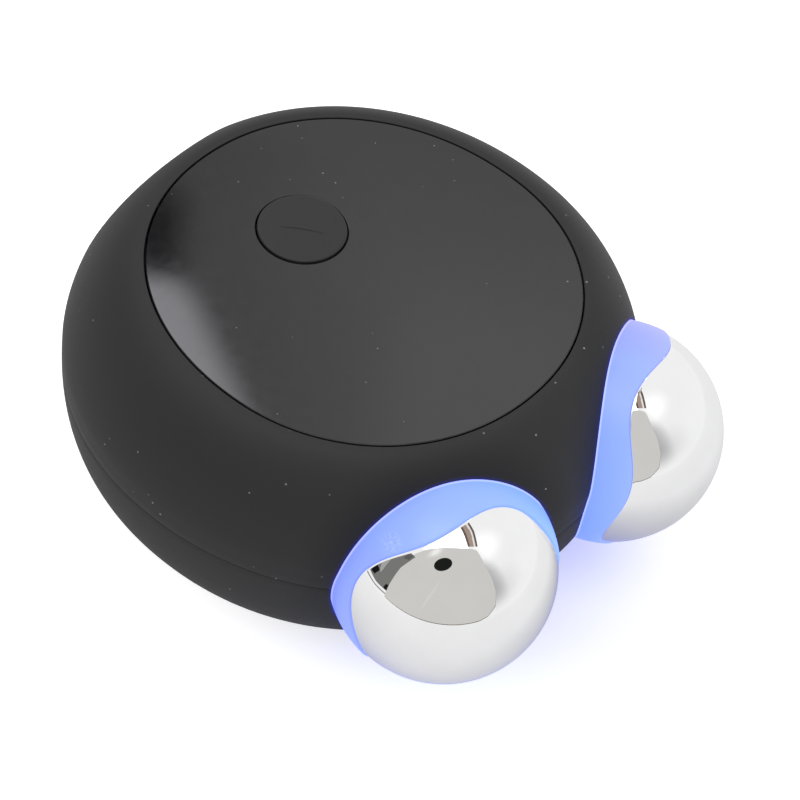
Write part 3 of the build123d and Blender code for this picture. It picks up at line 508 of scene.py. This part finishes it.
def electrode_rings(side, steps=72):
    """From the ball's far point to its edge, round the edge, down the neck, and back up inside."""
    rings = [shell_ring(side, BALL_RADIUS, waved(step / steps, -BALL_EDGE_GAP * step / steps))
             for step in range(steps + 1)]
    for sine, cosine in ROUNDING[1:]:
        edge = waved(1, BALL_EDGE_BREAK * sine - BALL_EDGE_GAP)
        rings.append(shell_ring(side, BALL_RADIUS - BALL_EDGE_BREAK * (1 - cosine), edge))
    rings.append(shell_ring(side, NECK_RADIUS, waved(1, BALL_EDGE_BREAK - BALL_EDGE_GAP)))
    rim = math.acos(NECK_END / NECK_RADIUS)
    rings += [shell_ring(side, NECK_RADIUS, from_wave(rim, share)) for share in (0.3, 0.6, 1.0)]
    rings += [shell_ring(side, NECK_BORE, angle) for angle in (math.acos(NECK_END / NECK_BORE), 1.5, 1.2)]
    rings += [shell_ring(side, BALL_BORE, angle) for angle in (1.1, 0.8, 0.4, 0.0)]
    return rings[::-1]


def collar_rings(side, steps=96, bore_steps=8):
    """Once round the collar's wall: the outside back from the wave, the back face, and the bore forwards."""
    rings = [shell_ring(side, COLLAR_RADIUS - COLLAR_EDGE_BREAK * (1 - sine),
                        waved(1, COLLAR_EDGE_BREAK * (1 - cosine))) for sine, cosine in ROUNDING]
    back = math.acos(COLLAR_BACK / COLLAR_RADIUS)
    rings += [shell_ring(side, COLLAR_RADIUS, from_wave(back, (step + 1) / steps, COLLAR_EDGE_BREAK))
              for step in range(steps)]
    hub = ((3.0 * MM, COLLAR_BACK), (COLLAR_SCREW_HOLE, COLLAR_BACK), (COLLAR_SCREW_HOLE, COLLAR_FLOOR),
           (4.0 * MM, COLLAR_FLOOR), (COLLAR_BOARD_SEAT, COLLAR_FLOOR), (COLLAR_BOARD_SEAT, COLLAR_STEP),
           (10.38 * MM, COLLAR_STEP))
    rings += [flat_ring(side, radius, level) for radius, level in hub]
    bore = math.acos(COLLAR_STEP / COLLAR_BORE)
    rings += [shell_ring(side, COLLAR_BORE, from_wave(bore, 1 - (step + 1) / bore_steps))
              for step in range(bore_steps)]
    return rings


SIDES = {1: "right", -1: "left"}
chrome_balls, glow_collars = {}, {}
for side, name in SIDES.items():
    chrome_balls[side] = globe_form(name + "_chrome_ball", electrode_rings(side), 256)
    glow_collars[side] = hoop_form(name + "_glow_collar", collar_rings(side), 256)
    for piece in (chrome_balls[side], glow_collars[side]):
        smooth(piece, 50)
        print(piece.name, "has", len(piece.data.polygons), "faces")

# %% [markdown]
# ## Finishes
# Every finish is a node tree on the Principled shader. Object coordinates are in metres here, so a noise
# of scale 2000 has grains of about half a millimetre. Small helpers make the nodes and link them, so that
# a finish reads like a formula. Then grain lays fine noise over a material as bump and roughness, and tint
# lets its colour follow that noise.

# %% Helpers for node trees and finishes
def node(owner, kind, **settings):
    """A new node in a material or world. A setting is an input where it has one of that name."""
    made = owner.node_tree.nodes.new("ShaderNode" + kind)
    for key, value in settings.items():
        if key in made.inputs:
            made.inputs[key].default_value = value
        else:
            setattr(made, key, value)
    return made


def join(owner, out_socket, in_socket):
    owner.node_tree.links.new(out_socket, in_socket)


def feed(owner, term, in_socket):
    """Links a socket to an input, or sets the input to a plain value."""
    if isinstance(term, bpy.types.NodeSocket):
        join(owner, term, in_socket)
    else:
        in_socket.default_value = term


def reckon(owner, operation, *terms, kind="Math", out="Value"):
    made = node(owner, kind, operation=operation)
    for term, in_socket in zip(terms, made.inputs):
        feed(owner, term, in_socket)
    return made.outputs[out]


def reckon_vector(owner, operation, *terms, out="Vector"):
    return reckon(owner, operation, *terms, kind="VectorMath", out=out)


def scaled(owner, vector, factor):
    made = node(owner, "VectorMath", operation="SCALE")
    feed(owner, vector, made.inputs[0])
    feed(owner, factor, made.inputs["Scale"])
    return made.outputs["Vector"]


def ranged(owner, value, start, stop, low=0.0, high=1.0, eased=False):
    """The value's way from start to stop, as a number from low to high."""
    made = node(owner, "MapRange", interpolation_type="SMOOTHSTEP" if eased else "LINEAR")
    for name, number in (("From Min", start), ("From Max", stop), ("To Min", low), ("To Max", high)):
        made.inputs[name].default_value = number
    join(owner, value, made.inputs["Value"])
    return made.outputs["Result"]


def here(owner):
    """The shaded place, in the object's own coordinates."""
    return node(owner, "TexCoord").outputs["Object"]


def distance_to(owner, point):
    return reckon_vector(owner, "DISTANCE", here(owner), point, out="Value")


def noise_over(owner, scale, detail):
    made = node(owner, "TexNoise", Scale=scale, Detail=detail)
    join(owner, here(owner), made.inputs["Vector"])
    return made.outputs["Fac"]


def mixed(owner, share, start, end):
    """A colour part of the way from one to another."""
    made = node(owner, "Mix", data_type="RGBA")
    for term, name in ((share, "Factor"), (start, "A"), (end, "B")):
        feed(owner, term, made.inputs[name])
    return made.outputs["Result"]


def shader_of(material):
    return material.node_tree.nodes["Principled BSDF"]


def finish(name, colour, roughness, metallic=0.0, **sockets):
    material = bpy.data.materials.new(name)
    material.use_nodes = True
    shader = shader_of(material)
    shader.inputs["Base Color"].default_value = (*colour, 1)
    shader.inputs["Roughness"].default_value = roughness
    shader.inputs["Metallic"].default_value = metallic
    for socket, value in sockets.items():
        shader.inputs[socket.replace("_", " ")].default_value = value
    return material


def paint(material, colour):
    join(material, colour, shader_of(material).inputs["Base Color"])


def raise_grain(material, noise, strength, distance):
    raised = node(material, "Bump", Strength=strength, Distance=distance)
    join(material, noise, raised.inputs["Height"])
    join(material, raised.outputs["Normal"], shader_of(material).inputs["Normal"])


def grain(material, scale, bump, rough_low, rough_high, distance=0.05 * MM):
    """Fine noise that roughens the surface and tilts it a little."""
    noise = noise_over(material, scale, 4.0)
    roughness = ranged(material, noise, 0.3, 0.7, rough_low, rough_high)
    join(material, roughness, shader_of(material).inputs["Roughness"])
    raise_grain(material, noise, bump, distance)
    return noise


def tint(material, noise, dark, light):
    """Colour that follows the noise between two tones."""
    ramp = node(material, "ValToRGB")
    for element, position, colour in zip(ramp.color_ramp.elements, (0.3, 0.7), (dark, light)):
        element.position, element.color = position, (*colour, 1)
    join(material, noise, ramp.inputs["Fac"])
    paint(material, ramp.outputs["Color"])
    return ramp.outputs["Color"]


# %% [markdown]
# Soft-touch paint and glossy black plastic both show stray dust. A Voronoi texture gives one point per
# cell, and a random value per cell keeps only a few of them, so the specks are sparse and uneven.

# %% Dust specks
def dusted(material, colour, cell, size, share, dimmest=0.05, brightest=0.26):
    """A colour with sparse pale specks: size is a speck's radius, and share that of the cells with one."""
    points = node(material, "TexVoronoi", Scale=1 / cell, Randomness=1.0)
    join(material, here(material), points.inputs["Vector"])
    draws = node(material, "SeparateColor")
    join(material, points.outputs["Color"], draws.inputs["Color"])
    near = reckon(material, "LESS_THAN", points.outputs["Distance"], size / cell)
    lucky = reckon(material, "LESS_THAN", draws.outputs["Red"], share)
    shade = ranged(material, draws.outputs["Green"], 0, 1, dimmest, brightest)
    return mixed(material, reckon(material, "MULTIPLY", near, lucky), colour, shade)


# %% [markdown]
# The shells carry painted shade where they meet the collars, and a painted navy glow at that edge, for
# the blue light of the collars' lamps. The distance from a ball's centre says where that edge is.

# %% Painted shade and glow on the shell's edge at the collars
# The width of the painted shade, and the edges of the painted navy glow line.
NAVY = (0.0, 0.0006, 0.075, 1)
PAINTED_SHADE_BAND, NAVY_INNER, NAVY_OUTER = 5 * MM, 0.14 * MM, 0.38 * MM


def painted_collar_shade_and_glow(material, colour):
    """Painted shade that darkens a colour near the collars, and a painted navy glow at the edge itself."""
    to_balls = [distance_to(material, on_side(side, BALL_CENTRE)) for side in SIDES]
    nearest = reckon(material, "MINIMUM", *to_balls)
    # Painted shade: darker towards the collars.
    dimmer = ranged(material, nearest, POCKET_RADIUS, POCKET_RADIUS + PAINTED_SHADE_BAND, 0.35, eased=True)
    # Painted glow: navy at the edge itself.
    line = ranged(material, nearest, POCKET_RADIUS + NAVY_OUTER, POCKET_RADIUS + NAVY_INNER, eased=True)
    return mixed(material, line, scaled(material, colour, dimmer), NAVY)


# %% [markdown]
# The shells are soft-touch paint, dull with a fine grain. The panel is a hard gloss that mirrors the room,
# and the button is a satin between the two, so it stands out a little from the panel.

# %% Soft-touch shell, glossy panel and satin button
soft_touch = finish("soft_touch_black", (0.012, 0.012, 0.0125), 0.6, Specular_IOR_Level=0.42)
soft_noise = grain(soft_touch, 5200, 0.12, 0.56, 0.66, 0.02 * MM)
soft_colour = tint(soft_touch, soft_noise, (0.0095, 0.0095, 0.0100), (0.0145, 0.0145, 0.0150))
# The shell's colour gets painted shade and a painted navy glow by the collars, then the dust.
paint(soft_touch, dusted(soft_touch, painted_collar_shade_and_glow(soft_touch, soft_colour), 1.2 * MM, 0.12 * MM, 0.14))

panel_gloss = finish("panel_gloss_black", (0.012, 0.012, 0.0125), 0.05, IOR=1.6)
panel_noise = grain(panel_gloss, 700, 0.006, 0.03, 0.05, 0.01 * MM)
panel_colour = tint(panel_gloss, panel_noise, (0.0115, 0.0115, 0.0125), (0.0135, 0.0135, 0.0145))
paint(panel_gloss, dusted(panel_gloss, panel_colour, 1.1 * MM, 0.10 * MM, 0.10))

button_satin = finish("button_satin_black", (0.014, 0.014, 0.0145), 0.4, Specular_IOR_Level=0.38)
button_noise = grain(button_satin, 4200, 0.10, 0.34, 0.46, 0.02 * MM)
tint(button_satin, button_noise, (0.012, 0.012, 0.0125), (0.017, 0.017, 0.0175))

# %% [markdown]
# Mirror chrome is nearly all reflection, so what it shows is the studio. A trace of haze in its roughness
# keeps it from looking like glass.

# %% Chrome
mirror_chrome = finish("mirror_chrome", (0.90, 0.90, 0.905), 0.02, metallic=1.0)
chrome_noise = grain(mirror_chrome, 260, 0.004, 0.012, 0.03, 0.01 * MM)
tint(mirror_chrome, chrome_noise, (0.885, 0.885, 0.89), (0.915, 0.915, 0.92))

# %% [markdown]
# The collars are frosted plastic with blue lamps behind. Where a collar meets the housing, its cut edge
# catches more of the light, as a thin pale line. The material can't know where the housing is, so each
# vertex of a collar is given its distance to the shells, in an attribute that the material reads.

# %% Distance from the collars to the housing
trees = [BVHTree.FromPolygons([vertex.co for vertex in shell.data.vertices],
                              [face.vertices for face in shell.data.polygons]) for shell in shells.values()]
for collar in glow_collars.values():
    gaps = [min(tree.find_nearest(vertex.co)[3] for tree in trees) for vertex in collar.data.vertices]
    collar.data.attributes.new("housing_gap", "FLOAT", "POINT").data.foreach_set("value", gaps)
    print(collar.name, "is", round(min(gaps) / MM, 2), "to", round(max(gaps) / MM, 1), "mm from the housing")

# %% [markdown]
# The glow is an emission. Its blue is strong, so it also colours the housing and the floor nearby, and the
# plastic's own colour adds some red and green from the white light around it. The tone turns from violet
# at the outer end to sky blue between the balls, and gets lighter towards the chrome. One small patch of
# the left collar's frosting has a painted glint: glittering red and green added to its glow.

# %% Glowing collar
GLOW_STRENGTH = 1.6
INNER_END, OUTER_END = 1 * MM, 26 * MM
CUT_EDGE_INNER, CUT_EDGE_OUTER = 0.14 * MM, 0.27 * MM
SPARKLE_PLACE = Vector((-21.5, -24.25, 26.12)) * MM
SPARKLE_INNER, SPARKLE_OUTER = 0.3 * MM, 1.7 * MM
# The glow's red and green at a collar's inner end, near its middle, and at its outer end.
GLOW_TONES = {1: ((0.10, 0.21), (0.18, 0.245), (0.21, 0.15)),
              -1: ((0.13, 0.31), (0.16, 0.275), (0.12, 0.165))}


def glow_colour(red, green, blue=GLOW_STRENGTH):
    """A colour that the glow's strength turns into these amounts of light."""
    return red / GLOW_STRENGTH, green / GLOW_STRENGTH, blue / GLOW_STRENGTH


def glow_tone(material, side):
    """The glow's colour from the collar's inner end to its outer end, with some unevenness."""
    parts = node(material, "SeparateXYZ")
    join(material, here(material), parts.inputs[0])
    outwards = ranged(material, parts.outputs["X"], side * INNER_END, side * OUTER_END)
    unevenness = reckon(material, "MULTIPLY_ADD", noise_over(material, 170.0, 2.0), 0.35, -0.175)
    ramp = node(material, "ValToRGB")
    inner, middle, outer = ((*glow_colour(*tone), 1) for tone in GLOW_TONES[side])
    ramp.color_ramp.elements[0].color, ramp.color_ramp.elements[1].color = inner, outer
    ramp.color_ramp.elements.new(0.45).color = middle
    join(material, reckon(material, "ADD", outwards, unevenness), ramp.inputs["Fac"])
    return ramp.outputs["Color"]


def near_chrome(material, side):
    """From 0 at the collar's back to 1 near its wavy edge."""
    from_centre = reckon_vector(material, "SUBTRACT", here(material), on_side(side, BALL_CENTRE))
    along = reckon_vector(material, "DOT_PRODUCT", from_centre, on_side(side, outward), out="Value")
    return ranged(material, along, -4 * MM, 4 * MM)


def cut_edge(material):
    gap = node(material, "Attribute", attribute_name="housing_gap").outputs["Fac"]
    return ranged(material, gap, CUT_EDGE_OUTER, CUT_EDGE_INNER, eased=True)


# Painted glint: a glittering patch that adds red and green to the left collar's glow.
def sparkle(material):
    patch = ranged(material, distance_to(material, SPARKLE_PLACE), SPARKLE_OUTER, SPARKLE_INNER, eased=True)
    glitter = ranged(material, noise_over(material, 3600.0, 1.0), 0.44, 0.66)
    return reckon(material, "MULTIPLY", patch, glitter)


def glow_finish(side):
    """Frosted plastic that glows, with more red and green where it is lighter."""
    material = finish("collar_glow_" + SIDES[side], (0.13, 0.18, 0.50), 0.38, Specular_IOR_Level=0.35)
    tone = glow_tone(material, side)
    for share, red, green in ((near_chrome(material, side), 0.075, 0.10), (cut_edge(material), 0.26, 0.23),
                              (sparkle(material), 0.10, 0.10)):
        lighter = scaled(material, glow_colour(red, green, 0), share)
        tone = reckon_vector(material, "ADD", tone, lighter)
    join(material, tone, shader_of(material).inputs["Emission Color"])
    shader_of(material).inputs["Emission Strength"].default_value = GLOW_STRENGTH
    raise_grain(material, noise_over(material, 3500.0, 3.0), 0.08, 0.03 * MM)
    return material


collar_glow = {side: glow_finish(side) for side in SIDES}

# %% [markdown]
# ## Put the pieces on the frame
# A new piece says which CAD nodes it stands for and which body it rides on, and gets its finish. The
# button is the only outer piece that moves.

# %% Dress the outer pieces
def dress(piece, body, nodes, material):
    piece.data.materials.clear()
    piece.data.materials.append(material)
    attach(piece, body)
    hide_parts(*nodes)


for name in ("upper_shell", "lower_shell"):
    dress(shells["soft_" + name], "housing", [name], soft_touch)
dress(panel, "housing", ["top_panel"], panel_gloss)
dress(button, "button", ["power_button"], button_satin)
for side, name in SIDES.items():
    dress(chrome_balls[side], "housing", [name + "_electrode"], mirror_chrome)
    dress(glow_collars[side], "housing", [name + "_light_collar"], collar_glow[side])

# %% [markdown]
# ## Finishes for the pieces inside
# The CAD nodes inside keep their shapes. Each kind of stuff gets its own finish: moulded rubber, solder
# mask, nylon, plated steel and so on, with a grain at the right scale.

# %% Finishes inside
def inner_finish(name, dark, light, roughness, scale, bump=0.1, metallic=0.0):
    material = finish(name, light, roughness, metallic)
    noise = grain(material, scale, bump, roughness * 0.85, min(1.0, roughness * 1.15))
    tint(material, noise, dark, light)
    return material


# Name, dark and light tone, roughness, scale of the grain, and where they differ its bump and the metal.
looks = {
    "silicone": ("silicone_rubber", (0.10, 0.10, 0.11), (0.14, 0.14, 0.15), 0.7, 3000),
    "adhesive": ("adhesive_tape", (0.80, 0.80, 0.76), (0.88, 0.88, 0.85), 0.6, 900),
    "circuit_board": ("solder_mask", (0.015, 0.13, 0.06), (0.025, 0.19, 0.10), 0.3, 600),
    "chip": ("chip_epoxy", (0.03, 0.03, 0.034), (0.05, 0.05, 0.055), 0.6, 5000),
    "coil": ("ferrite", (0.14, 0.14, 0.15), (0.22, 0.22, 0.23), 0.65, 4000, 0.3),
    "connector": ("nylon", (0.82, 0.80, 0.72), (0.92, 0.90, 0.82), 0.45, 2000),
    "cell_pouch": ("pouch_foil", (0.66, 0.67, 0.70), (0.76, 0.77, 0.80), 0.35, 400, 0.2, 1.0),
    "foam": ("foam_tape", (0.08, 0.08, 0.08), (0.15, 0.15, 0.15), 0.95, 2500, 0.5),
    "wire": ("wire_sleeve", (0.42, 0.02, 0.02), (0.55, 0.04, 0.04), 0.4, 1800),
    "steel": ("plated_steel", (0.56, 0.56, 0.57), (0.66, 0.66, 0.67), 0.28, 2500, 0.05, 1.0),
    "tongue": ("tongue_plastic", (0.025, 0.025, 0.025), (0.04, 0.04, 0.04), 0.5, 3000),
    "bronze": ("phosphor_bronze", (0.70, 0.50, 0.25), (0.82, 0.62, 0.34), 0.3, 2500, 0.05, 1.0),
    "tungsten": ("sintered_weight", (0.40, 0.40, 0.42), (0.48, 0.48, 0.50), 0.45, 4000, 0.2, 1.0),
    "led": ("blue_lamp", (0.80, 0.84, 1.0), (0.92, 0.94, 1.0), 0.35, 3000),
}
inside = {slot: inner_finish(*look) for slot, look in looks.items()}
lamp = shader_of(inside["led"])
lamp.inputs["Emission Color"].default_value = (0.25, 0.35, 1.0, 1)
lamp.inputs["Emission Strength"].default_value = 2.0
outer = {"soft_shell": soft_touch, "gloss_panel": panel_gloss, "button_cap": button_satin,
         "chrome_ball": mirror_chrome}
slot_of = {entry["node"]: entry["material_slot"] for entry in frame["record"]["subparts"]}
for name, part in frame["nodes"].items():
    side = -1 if name.startswith("left") else 1
    material = inside.get(slot_of[name]) or outer.get(slot_of[name]) or collar_glow[side]
    if not part.data.materials:
        part.data.materials.append(material)
    for index in range(len(part.data.materials)):
        part.data.materials[index] = material
print("finishes on", len(frame["nodes"]), "CAD nodes")

# %% [markdown]
# ## Floor
# The device lies on a white sheet. The floor is a plain diffuse white, so the device's shadow falls on it.
# To the camera some emission lifts it to the white of an exposed backdrop, with less of it between the
# balls, so that their shadow stays. Mirrors see a smaller lift, on a slightly greyer sheet.

# %% Floor
def bare_material(name):
    """A material with an empty node tree."""
    material = bpy.data.materials.new(name)
    material.use_nodes = True
    material.node_tree.nodes.clear()
    return material


def show(material, surface):
    join(material, surface, node(material, "OutputMaterial").inputs["Surface"])


deselect()
bpy.ops.mesh.primitive_plane_add(size=6, location=(0, 0, -0.02 * MM))
floor = take("floor")
sheet = bare_material("floor_white")
path = node(sheet, "LightPath")
camera_ray, glossy_ray = path.outputs["Is Camera Ray"], path.outputs["Is Glossy Ray"]

from_shadow = distance_to(sheet, (12 * MM, -27 * MM, 0))
lift_near = ranged(sheet, from_shadow, 0, 10 * MM, 0.29, 0.42, eased=True)
lift_far = ranged(sheet, from_shadow, 12 * MM, 50 * MM, 0, 0.33, eased=True)
camera_lift = reckon(sheet, "MULTIPLY", reckon(sheet, "ADD", lift_near, lift_far), camera_ray)

from_gap = distance_to(sheet, (9 * MM, -29 * MM, 0))
gleam_near = ranged(sheet, from_gap, 2 * MM, 45 * MM, 0, 0.215, eased=True)
gleam_far = ranged(sheet, from_gap, 40 * MM, 600 * MM, 0, 0.065, eased=True)
gleam = reckon(sheet, "ADD", gleam_near, gleam_far)

diffuse = node(sheet, "BsdfDiffuse")
join(sheet, reckon(sheet, "MULTIPLY_ADD", glossy_ray, -0.11, 0.80), diffuse.inputs["Color"])
lift = node(sheet, "Emission", Color=(1, 1, 1, 1))
join(sheet, reckon(sheet, "MULTIPLY_ADD", gleam, glossy_ray, camera_lift), lift.inputs["Strength"])
both = node(sheet, "AddShader")
join(sheet, diffuse.outputs[0], both.inputs[0])
join(sheet, lift.outputs[0], both.inputs[1])
show(sheet, both.outputs[0])
floor.data.materials.append(sheet)

# %% [markdown]
# ## Sky
# A white light tent is an even glow from all round, so the world is plain white. Its cloth is a shade
# greyer in a mirror than the overexposed backdrop.

# %% Sky
world = bpy.data.worlds.new("white_tent")
bpy.context.scene.world = world
world.use_nodes = True
background = world.node_tree.nodes["Background"]
background.inputs["Color"].default_value = (1, 1, 1, 1)
in_mirror = node(world, "LightPath").outputs["Is Glossy Ray"]
join(world, reckon(world, "MULTIPLY_ADD", in_mirror, -0.04, 1.0), background.inputs["Strength"])

# %% [markdown]
# ## What the chrome and the gloss mirror
# Glowing cards stand where the tent's parts are: the front flap with the hole that the lens looks through,
# its rod, the gap at the side, and a lamp. Only reflections see them. A card may have soft edges, from the
# way its own UV map runs from 0 to 1 across it.

# %% Helper for a card
HARD = (0, 0, 0, 0)


def fading(glow, soft, cover):
    """How much of a card shows: cover in its middle, and nothing at an edge that is soft."""
    across = node(glow, "SeparateXYZ")
    join(glow, node(glow, "TexCoord").outputs["UV"], across.inputs[0])
    share = cover
    for axis, low_edge, high_edge in (("X", soft[0], soft[1]), ("Y", soft[2], soft[3])):
        for start, stop in ((0, low_edge), (1, 1 - high_edge)):
            if start != stop:
                edge = ranged(glow, across.outputs[axis], start, stop, eased=True)
                share = reckon(glow, "MULTIPLY", share, edge)
    return share


def card(name, corners, colour, soft=HARD, cover=1.0):
    """A glowing card. soft is the fading share at its left, right, low and high edge."""
    deselect()
    bpy.ops.mesh.primitive_circle_add(vertices=len(corners), radius=1, fill_type="NGON")
    made = take(name)
    for vertex, corner in zip(made.data.vertices, corners):
        vertex.co = corner
    uv_corners = ((0, 0), (1, 0), (1, 1), (0, 1))
    for loop in made.data.loops:
        made.data.uv_layers.active.data[loop.index].uv = uv_corners[loop.vertex_index % 4]
    glow = bare_material(name)
    surface = node(glow, "Emission", Color=(*colour, 1), Strength=1.0).outputs[0]
    if any(soft) or cover < 1:
        mix = node(glow, "MixShader")
        feed(glow, fading(glow, soft, cover), mix.inputs["Fac"])
        join(glow, node(glow, "BsdfTransparent").outputs[0], mix.inputs[1])
        join(glow, surface, mix.inputs[2])
        surface = mix.outputs[0]
    show(glow, surface)
    made.data.materials.append(glow)
    made.visible_camera = made.visible_diffuse = made.visible_shadow = made.visible_transmission = False


# %% [markdown]
# The flap is a sheet that stands 22.5 cm in front of the left ball. Its cut edge shows as a thin dark
# line, so a slightly larger dark card stands behind it. A painted highlight on a fold, a painted highlight
# along a crease and the lens's oval hole are cards just in front, and a shadow falls on the cloth behind it.

# %% The tent's front flap
FLAP_DISTANCE = 0.225
flap_out = Vector((-0.663, -0.7485, 0)).normalized()
flap_side = Vector((0.7485, -0.663, 0)).normalized()
left_centre = Vector((-BALL_CENTRE.x, BALL_CENTRE.y, 0))


def flap_card(name, behind, corners, colour, soft=HARD, cover=1.0):
    """A card parallel to the flap and a distance behind it, from metres across and up."""
    foot_point = left_centre + flap_out * (FLAP_DISTANCE + behind)
    points = [foot_point + flap_side * across + Vector((0, 0, height)) for across, height in corners]
    card(name, points, colour, soft, cover)


flap_outline = [(-0.472, 0.004), (0.100, 0.005), (0.143, 0.013), (0.192, 0.047), (0.221, 0.119),
                (0.237, 0.22), (0.246, 0.37), (0.285, 0.56), (0.300, 0.66), (0.250, 0.71), (0.122, 0.72),
                (-0.098, 0.772), (-0.353, 0.800), (-0.5175, 0.689), (-0.543, 0.605), (-0.5175, 0.304),
                (-0.494, 0.10)]
cut_outline = [(across + 0.0025 * (across > 0.15), height - 0.0035 * (height < 0.06) + 0.004 * (height > 0.6))
               for across, height in flap_outline]
hole_outline = [(-0.072 + 0.066 * math.cos(turn), 0.375 + 0.088 * math.sin(turn))
                for turn in (math.pi / 20 * step for step in range(40))]
flap_card("flap", 0, flap_outline, (0.655, 0.64, 0.615))
flap_card("flap_edge", 0.002, cut_outline, (0.20, 0.17, 0.14))
# Painted highlights: a bright patch on the flap's fold and a lighter line along its crease.
flap_card("flap_fold_highlight", -0.001, [(-0.30, 0.46), (-0.10, 0.46), (-0.08, 0.76), (-0.30, 0.78)],
          (0.98, 0.98, 0.97), (0.5, 0.5, 0.5, 0.2), 0.9)
flap_card("flap_crease_highlight", -0.001, [(-0.140, 0.03), (-0.122, 0.03), (-0.052, 0.23), (-0.068, 0.23)],
          (0.76, 0.75, 0.73), (0.5, 0.5, 0.3, 0.4), 0.6)
flap_card("lens_hole", -0.002, hole_outline, (0.012, 0.014, 0.012))
flap_card("flap_shadow", 0.010, [(0.13, 0.0), (0.40, 0.0), (0.52, 0.52), (0.22, 0.52)],
          (0.36, 0.36, 0.37), (0, 0.92, 0.3, 0.5), 0.78)

# %% [markdown]
# The rest of the tent is given by the turn from X and the height in degrees, seen from the left ball: the
# opening at the side with its grey rail, the overexposed top, and the brown rod that crosses it.

# %% The tent's side, top and rod
def toward(turn, rise, distance):
    """A point seen from the left ball's centre at a turn from X and a height, both in degrees."""
    turn, rise = math.radians(turn), math.radians(rise)
    flat = math.cos(rise)
    direction = Vector((flat * math.cos(turn), flat * math.sin(turn), math.sin(rise)))
    return on_side(-1, BALL_CENTRE) + distance * direction


def sky_card(name, directions, distance, colour, soft=HARD, cover=1.0):
    card(name, [toward(turn, rise, distance) for turn, rise in directions], colour, soft, cover)


sky_card("side_opening", [(137, 3), (150, 2), (166, 4), (168, 48), (156, 47), (144, 27), (138, 10)], 0.72,
         (0.20, 0.20, 0.19))
sky_card("side_pane", [(147, 12), (157, 9), (158, 20), (156, 28), (147, 27), (142, 19)], 0.70,
         (0.40, 0.41, 0.39))
sky_card("side_post", [(156, 30), (163, 28), (163, 48), (155, 44)], 0.70, (0.12, 0.12, 0.12))
sky_card("side_clip", [(138, 4), (145, 5), (147, 12), (140, 13)], 0.69, (0.01, 0.01, 0.01))
sky_card("side_foot", [(159, 4), (167, 4), (164, 12), (160, 10)], 0.69, (0.01, 0.01, 0.01))
sky_card("side_rail", [(133, -1.2), (150, -1.2), (167, 0.4), (167, 1.6), (150, 0.0), (133, 0.2)], 0.69,
         (0.30, 0.29, 0.28))
sky_card("tent_top", [(135, 66), (164, 58), (209, 66), (268, 64), (300, 74), (345, 80), (60, 82)], 0.95,
         (2.0, 2.0, 2.0))
# The rod is a dark brown card, with a painted lit face and a painted gleam along it.
rod = [((350, 80), (346, 70)), ((299, 77), (321, 68)), ((273, 68), (289, 61))]
for name, low, high, distance, colour in (("rod", 0.0, 1.0, 0.90, (0.14, 0.11, 0.09)),
                                          ("rod_face", 0.22, 0.72, 0.89, (0.40, 0.30, 0.25)),
                                          ("rod_gleam", 0.62, 0.80, 0.88, (0.85, 0.82, 0.80))):
    edges = [(toward(*left, distance), toward(*right, distance)) for left, right in rod]
    card(name, [a.lerp(b, low) for a, b in edges] + [a.lerp(b, high) for a, b in reversed(edges)], colour)
sky_card("tent_lamp", [(105, 58), (200, 52), (225, 76), (90, 80)], 1.2, (3.0, 3.0, 3.0))
# A grey card as painted shade on the tent's back, low down behind the device.
sky_card("tent_back_shade", [(70, -14), (136, -14), (132, 30), (74, 30)], 1.0,
         (0.25, 0.25, 0.25), (0.4, 0.25, 0.3, 0.4), 0.85)
sky_card("right_shade", [(262, -1), (312, -1), (312, 34), (262, 38)], 1.05,
         (0.45, 0.45, 0.45), (0.2, 0.75, 0.45, 0.5), 0.45)
sky_card("tent_glow", [(276, 36), (330, 30), (345, 66), (268, 72)], 1.0,
         (1.25, 1.25, 1.25), (0.5, 0.5, 0.5, 0.5), 0.9)

# %% [markdown]
# The panel mirrors a lamp behind the device and the dark gap below it, and grey cards round them are
# painted shade on the cloth. They stand half a metre away.

# %% The lamp that the panel mirrors
lamp_out = Vector((0.818, 0.575, 0)).normalized()
lamp_side = Vector((-0.575, 0.818, 0)).normalized()


def lamp_card(name, distance, corners, colour, soft, cover=1.0):
    """A card behind the device, from millimetres across and up."""
    points = [lamp_out * distance + lamp_side * across * MM + Vector((0, 0, height * MM))
              for across, height in corners]
    card(name, points, colour, soft, cover)


lamp_card("lamp", 0.500, [(56, 582), (170, 582), (170, 734), (-7, 734)],
          (3.42, 3.38, 3.6), (0.08, 0.1, 0.075, 0.1))
lamp_card("dark_gap", 0.502, [(55, 541), (170, 541), (170, 600), (55, 600)],
          (0.004, 0.004, 0.004), (0.13, 0.1, 0.35, 0.15))
lamp_card("lamp_shade", 0.504, [(5, 515), (180, 515), (180, 735), (-30, 735)],
          (0.40, 0.40, 0.40), (0.33, 0.05, 0.1, 0.1), 0.52)
# Painted shade: a grey card that darkens the cloth that the panel mirrors low down.
lamp_card("low_cloth_shade", 0.506, [(-220, 380), (260, 380), (260, 580), (-220, 580)],
          (0.55, 0.55, 0.55), (0.2, 0.2, 0.2, 0.45), 0.52)
lamp_card("bright_cloth", 0.508, [(-80, 555), (12, 555), (12, 690), (-80, 690)],
          (1.14, 1.14, 1.16), (0.4, 0.3, 0.4, 0.3))

# %% [markdown]
# ## Sizes
# The finished model keeps to the CAD's box, but for the button's ridge, which is 0.05 mm higher.

# %% Update the scene
bpy.context.view_layer.update()
